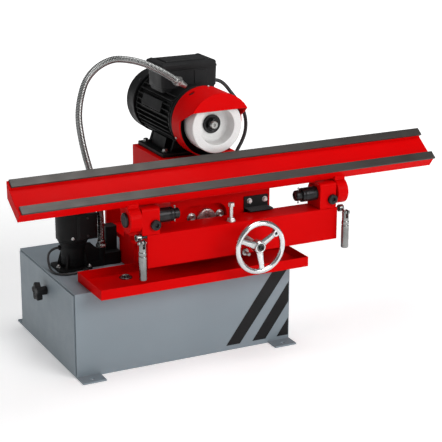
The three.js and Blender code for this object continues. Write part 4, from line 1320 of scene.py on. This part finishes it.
def add_feed():
    low, high, at = measured("feed_screw")
    collar_back = corners("saddle")[0].y - GAP
    collar_front = collar_back - 7.7

    def screw(bm):
        profile = [(low.y + 4, 0), (low.y + 4, 6.6), (low.y + 4.8, 7.4), (low.y + 26, 7.6), (low.y + 27, 8)]
        pitch, y = 4.0, low.y + 30
        while y < collar_front - 5:
            profile += [(y, 8), (y + pitch * 0.4, 8), (y + pitch * 0.5, 6.6), (y + pitch * 0.9, 6.6)]
            y += pitch
        profile += [(collar_front, 8), (collar_front, 13.2), (collar_front + 0.8, 14)]
        profile += [(collar_back - 0.7, 14), (collar_back, 13.2), (collar_back, 8), (high.y, 8), (high.y, 0)]
        lathe(bm, (at.x, 0, at.z), "y", profile, 48)

    new_piece("feed_screw_thread", "bright_steel", screw, "feed_screw")

    def socket_screw(bm):
        socket_head(bm, (at.x, low.y + 4, at.z), (0, -1, 0), 6.2, 4.4)

    new_piece("handwheel_socket_screw", "black_oxide", socket_screw, body=NODE_BODY["feed_screw"])


def add_handwheel():
    low, high = corners("handwheel")
    rim_tube = 6.5
    centre = Vector((middle("feed_screw").x, low.y + rim_tube, middle("feed_screw").z))
    ring_radius = (high.x - low.x) / 2 - rim_tube
    spokes = (36, 156, 276)

    def rim(bm):
        steps = 120
        stations = []
        for i in range(steps):
            away = radial(TAU * i / steps)[0]
            stations.append((centre + away * ring_radius, away * (rim_tube - 0.2), Vector((0, -rim_tube, 0))))
        loft(bm, stations, 28, closed=True)

    def hub(bm):
        outside = [(18, 8.6), (18, 14.4), (17, 15), (6, 15), (1, 14.2), (-3.2, 12.4), (-4, 11.4)]
        turned_ring(bm, centre, "y", [*outside, (-4, 9.2), (-3.2, 8.6)], 0.7, 2, 72)

    def spoke(bm, degrees):
        away, side = radial(math.radians(degrees))
        stations = []
        for share in (0, 0.12, 0.3, 0.5, 0.7, 0.88, 1.0):
            reach = 11 + (ring_radius - 11) * share
            wide = 8.6 - 3.0 * share + 3.0 * max(0.0, share - 0.8) / 0.2
            deep = 5.4 - 1.8 * share
            dish = 5.0 * (1 - share) ** 1.3
            stations.append((centre + away * reach + Vector((0, dish, 0)), side * wide, Vector((0, deep, 0))))
        loft(bm, stations, 24)

    crank_place = centre + radial(math.radians(spokes[0]))[0] * (ring_radius - 8.5)

    def crank_boss(bm):
        boss = [(5, 3.3), (5, 8), (-3.4, 8), (-4.6, 7), (-4.6, 3.3)]
        turned_ring(bm, crank_place, "y", boss, 0.7, 2, 48)

    def bore(bm):
        lathe(bm, crank_place, "y", [(-9, 0), (-9, 3.2), (9, 3.2), (9, 0)], 32)

    def whole(bm):
        rim(bm)
        hub(bm)
        for degrees in spokes[1:]:
            spoke(bm, degrees)

    new_piece("handwheel_casting", "polished_aluminium", whole, "handwheel")
    new_piece("handwheel_crank_spoke", "polished_aluminium", lambda bm: spoke(bm, spokes[0]),
              body=NODE_BODY["handwheel"], cutters=[bore])
    new_piece("handwheel_crank_boss", "polished_aluminium", crank_boss, body=NODE_BODY["handwheel"])

    plug = [(0, 0), (0, 3.25), (4, 3.25), (4, 0)]
    turned("handwheel_crank_plug", "black_oxide", crank_place, "y", plug, None, 32,
           body=NODE_BODY["handwheel"])


def add_knife_bar():
    refined("knife_bar", "red_paint", 1.4)
    refined("upper_strip", "ground_strip", 0.5)
    refined("lower_strip", "ground_strip", 0.5)


add_saddle()
add_beam()
add_small_screws()
add_feed()
add_handwheel()
add_knife_bar()


# ---------------------------------------------------------------- studio
FLOOR_REACH = 12.0  # metres from the middle to the edge of the floor
FLOOR_GLOW = (0.35, 0.95)  # near the machine and far from it, so the floor runs out into white
GLOW_FROM_TO = (0.7, 2.6)  # metres from the middle


def add_floor():
    floor = Finish("studio_floor")
    tone = floor.blend(floor.between(floor.noise(1.5), 0, 1), (0.84, 0.84, 0.84), (0.86, 0.86, 0.86))
    floor.shader.inputs["Emission Color"].default_value = (1, 1, 1, 1)
    distance = floor.node("ShaderNodeVectorMath", operation="LENGTH")
    floor.link(floor.place, distance.inputs[0])
    near, far = FLOOR_GLOW
    glow = floor.between(distance.outputs["Value"], near, far, *GLOW_FROM_TO)
    floor.link(glow, floor.shader.inputs["Emission Strength"])
    material = floor.done(tone, floor.between(floor.noise(3.0), 0.8, 0.9), specular=0.0)
    bm = bmesh.new()
    reach = FLOOR_REACH / METRES
    block(bm, (-reach, -reach, -20), (reach, reach, -0.2))
    mesh = mesh_from("studio_floor", bm)
    mesh.materials.append(material)
    obj = bpy.data.objects.new("studio_floor", mesh)
    bpy.context.scene.collection.objects.link(obj)


def add_softbox(name, place, aim, size, power):
    light = bpy.data.lights.new(name, "AREA")
    light.shape = "RECTANGLE"
    light.size, light.size_y = size
    light.energy = power
    lamp = bpy.data.objects.new(name, light)
    lamp.location = place
    lamp.rotation_euler = (Vector(aim) - Vector(place)).to_track_quat("-Z", "Y").to_euler()
    bpy.context.scene.collection.objects.link(lamp)


def add_world():
    """White to the camera, and a darker grey to everything that it lights."""
    world = bpy.data.worlds.new("studio")
    bpy.context.scene.world = world
    world.use_nodes = True
    tree = world.node_tree
    backdrop, fill = tree.nodes["Background"], tree.nodes.new("ShaderNodeBackground")
    backdrop.inputs["Color"].default_value = (1, 1, 1, 1)
    fill.inputs["Color"].default_value = (0.20, 0.203, 0.207, 1)
    mix, path = tree.nodes.new("ShaderNodeMixShader"), tree.nodes.new("ShaderNodeLightPath")
    tree.links.new(path.outputs["Is Camera Ray"], mix.inputs["Fac"])
    tree.links.new(fill.outputs[0], mix.inputs[1])
    tree.links.new(backdrop.outputs[0], mix.inputs[2])
    tree.links.new(mix.outputs[0], tree.nodes["World Output"].inputs["Surface"])


add_floor()
add_world()
add_softbox("key_light", (1.2, -3.2, 2.1), (0.1, 0, 0.3), (2.2, 1.6), 78)
add_softbox("top_light", (0.3, -0.1, 2.8), (0.1, 0, 0.3), (2.0, 1.4), 34)
add_softbox("left_light", (-3.2, -0.8, 1.3), (0, 0, 0.3), (0.9, 1.6), 5)
bpy.context.scene.view_settings.view_transform = "Standard"
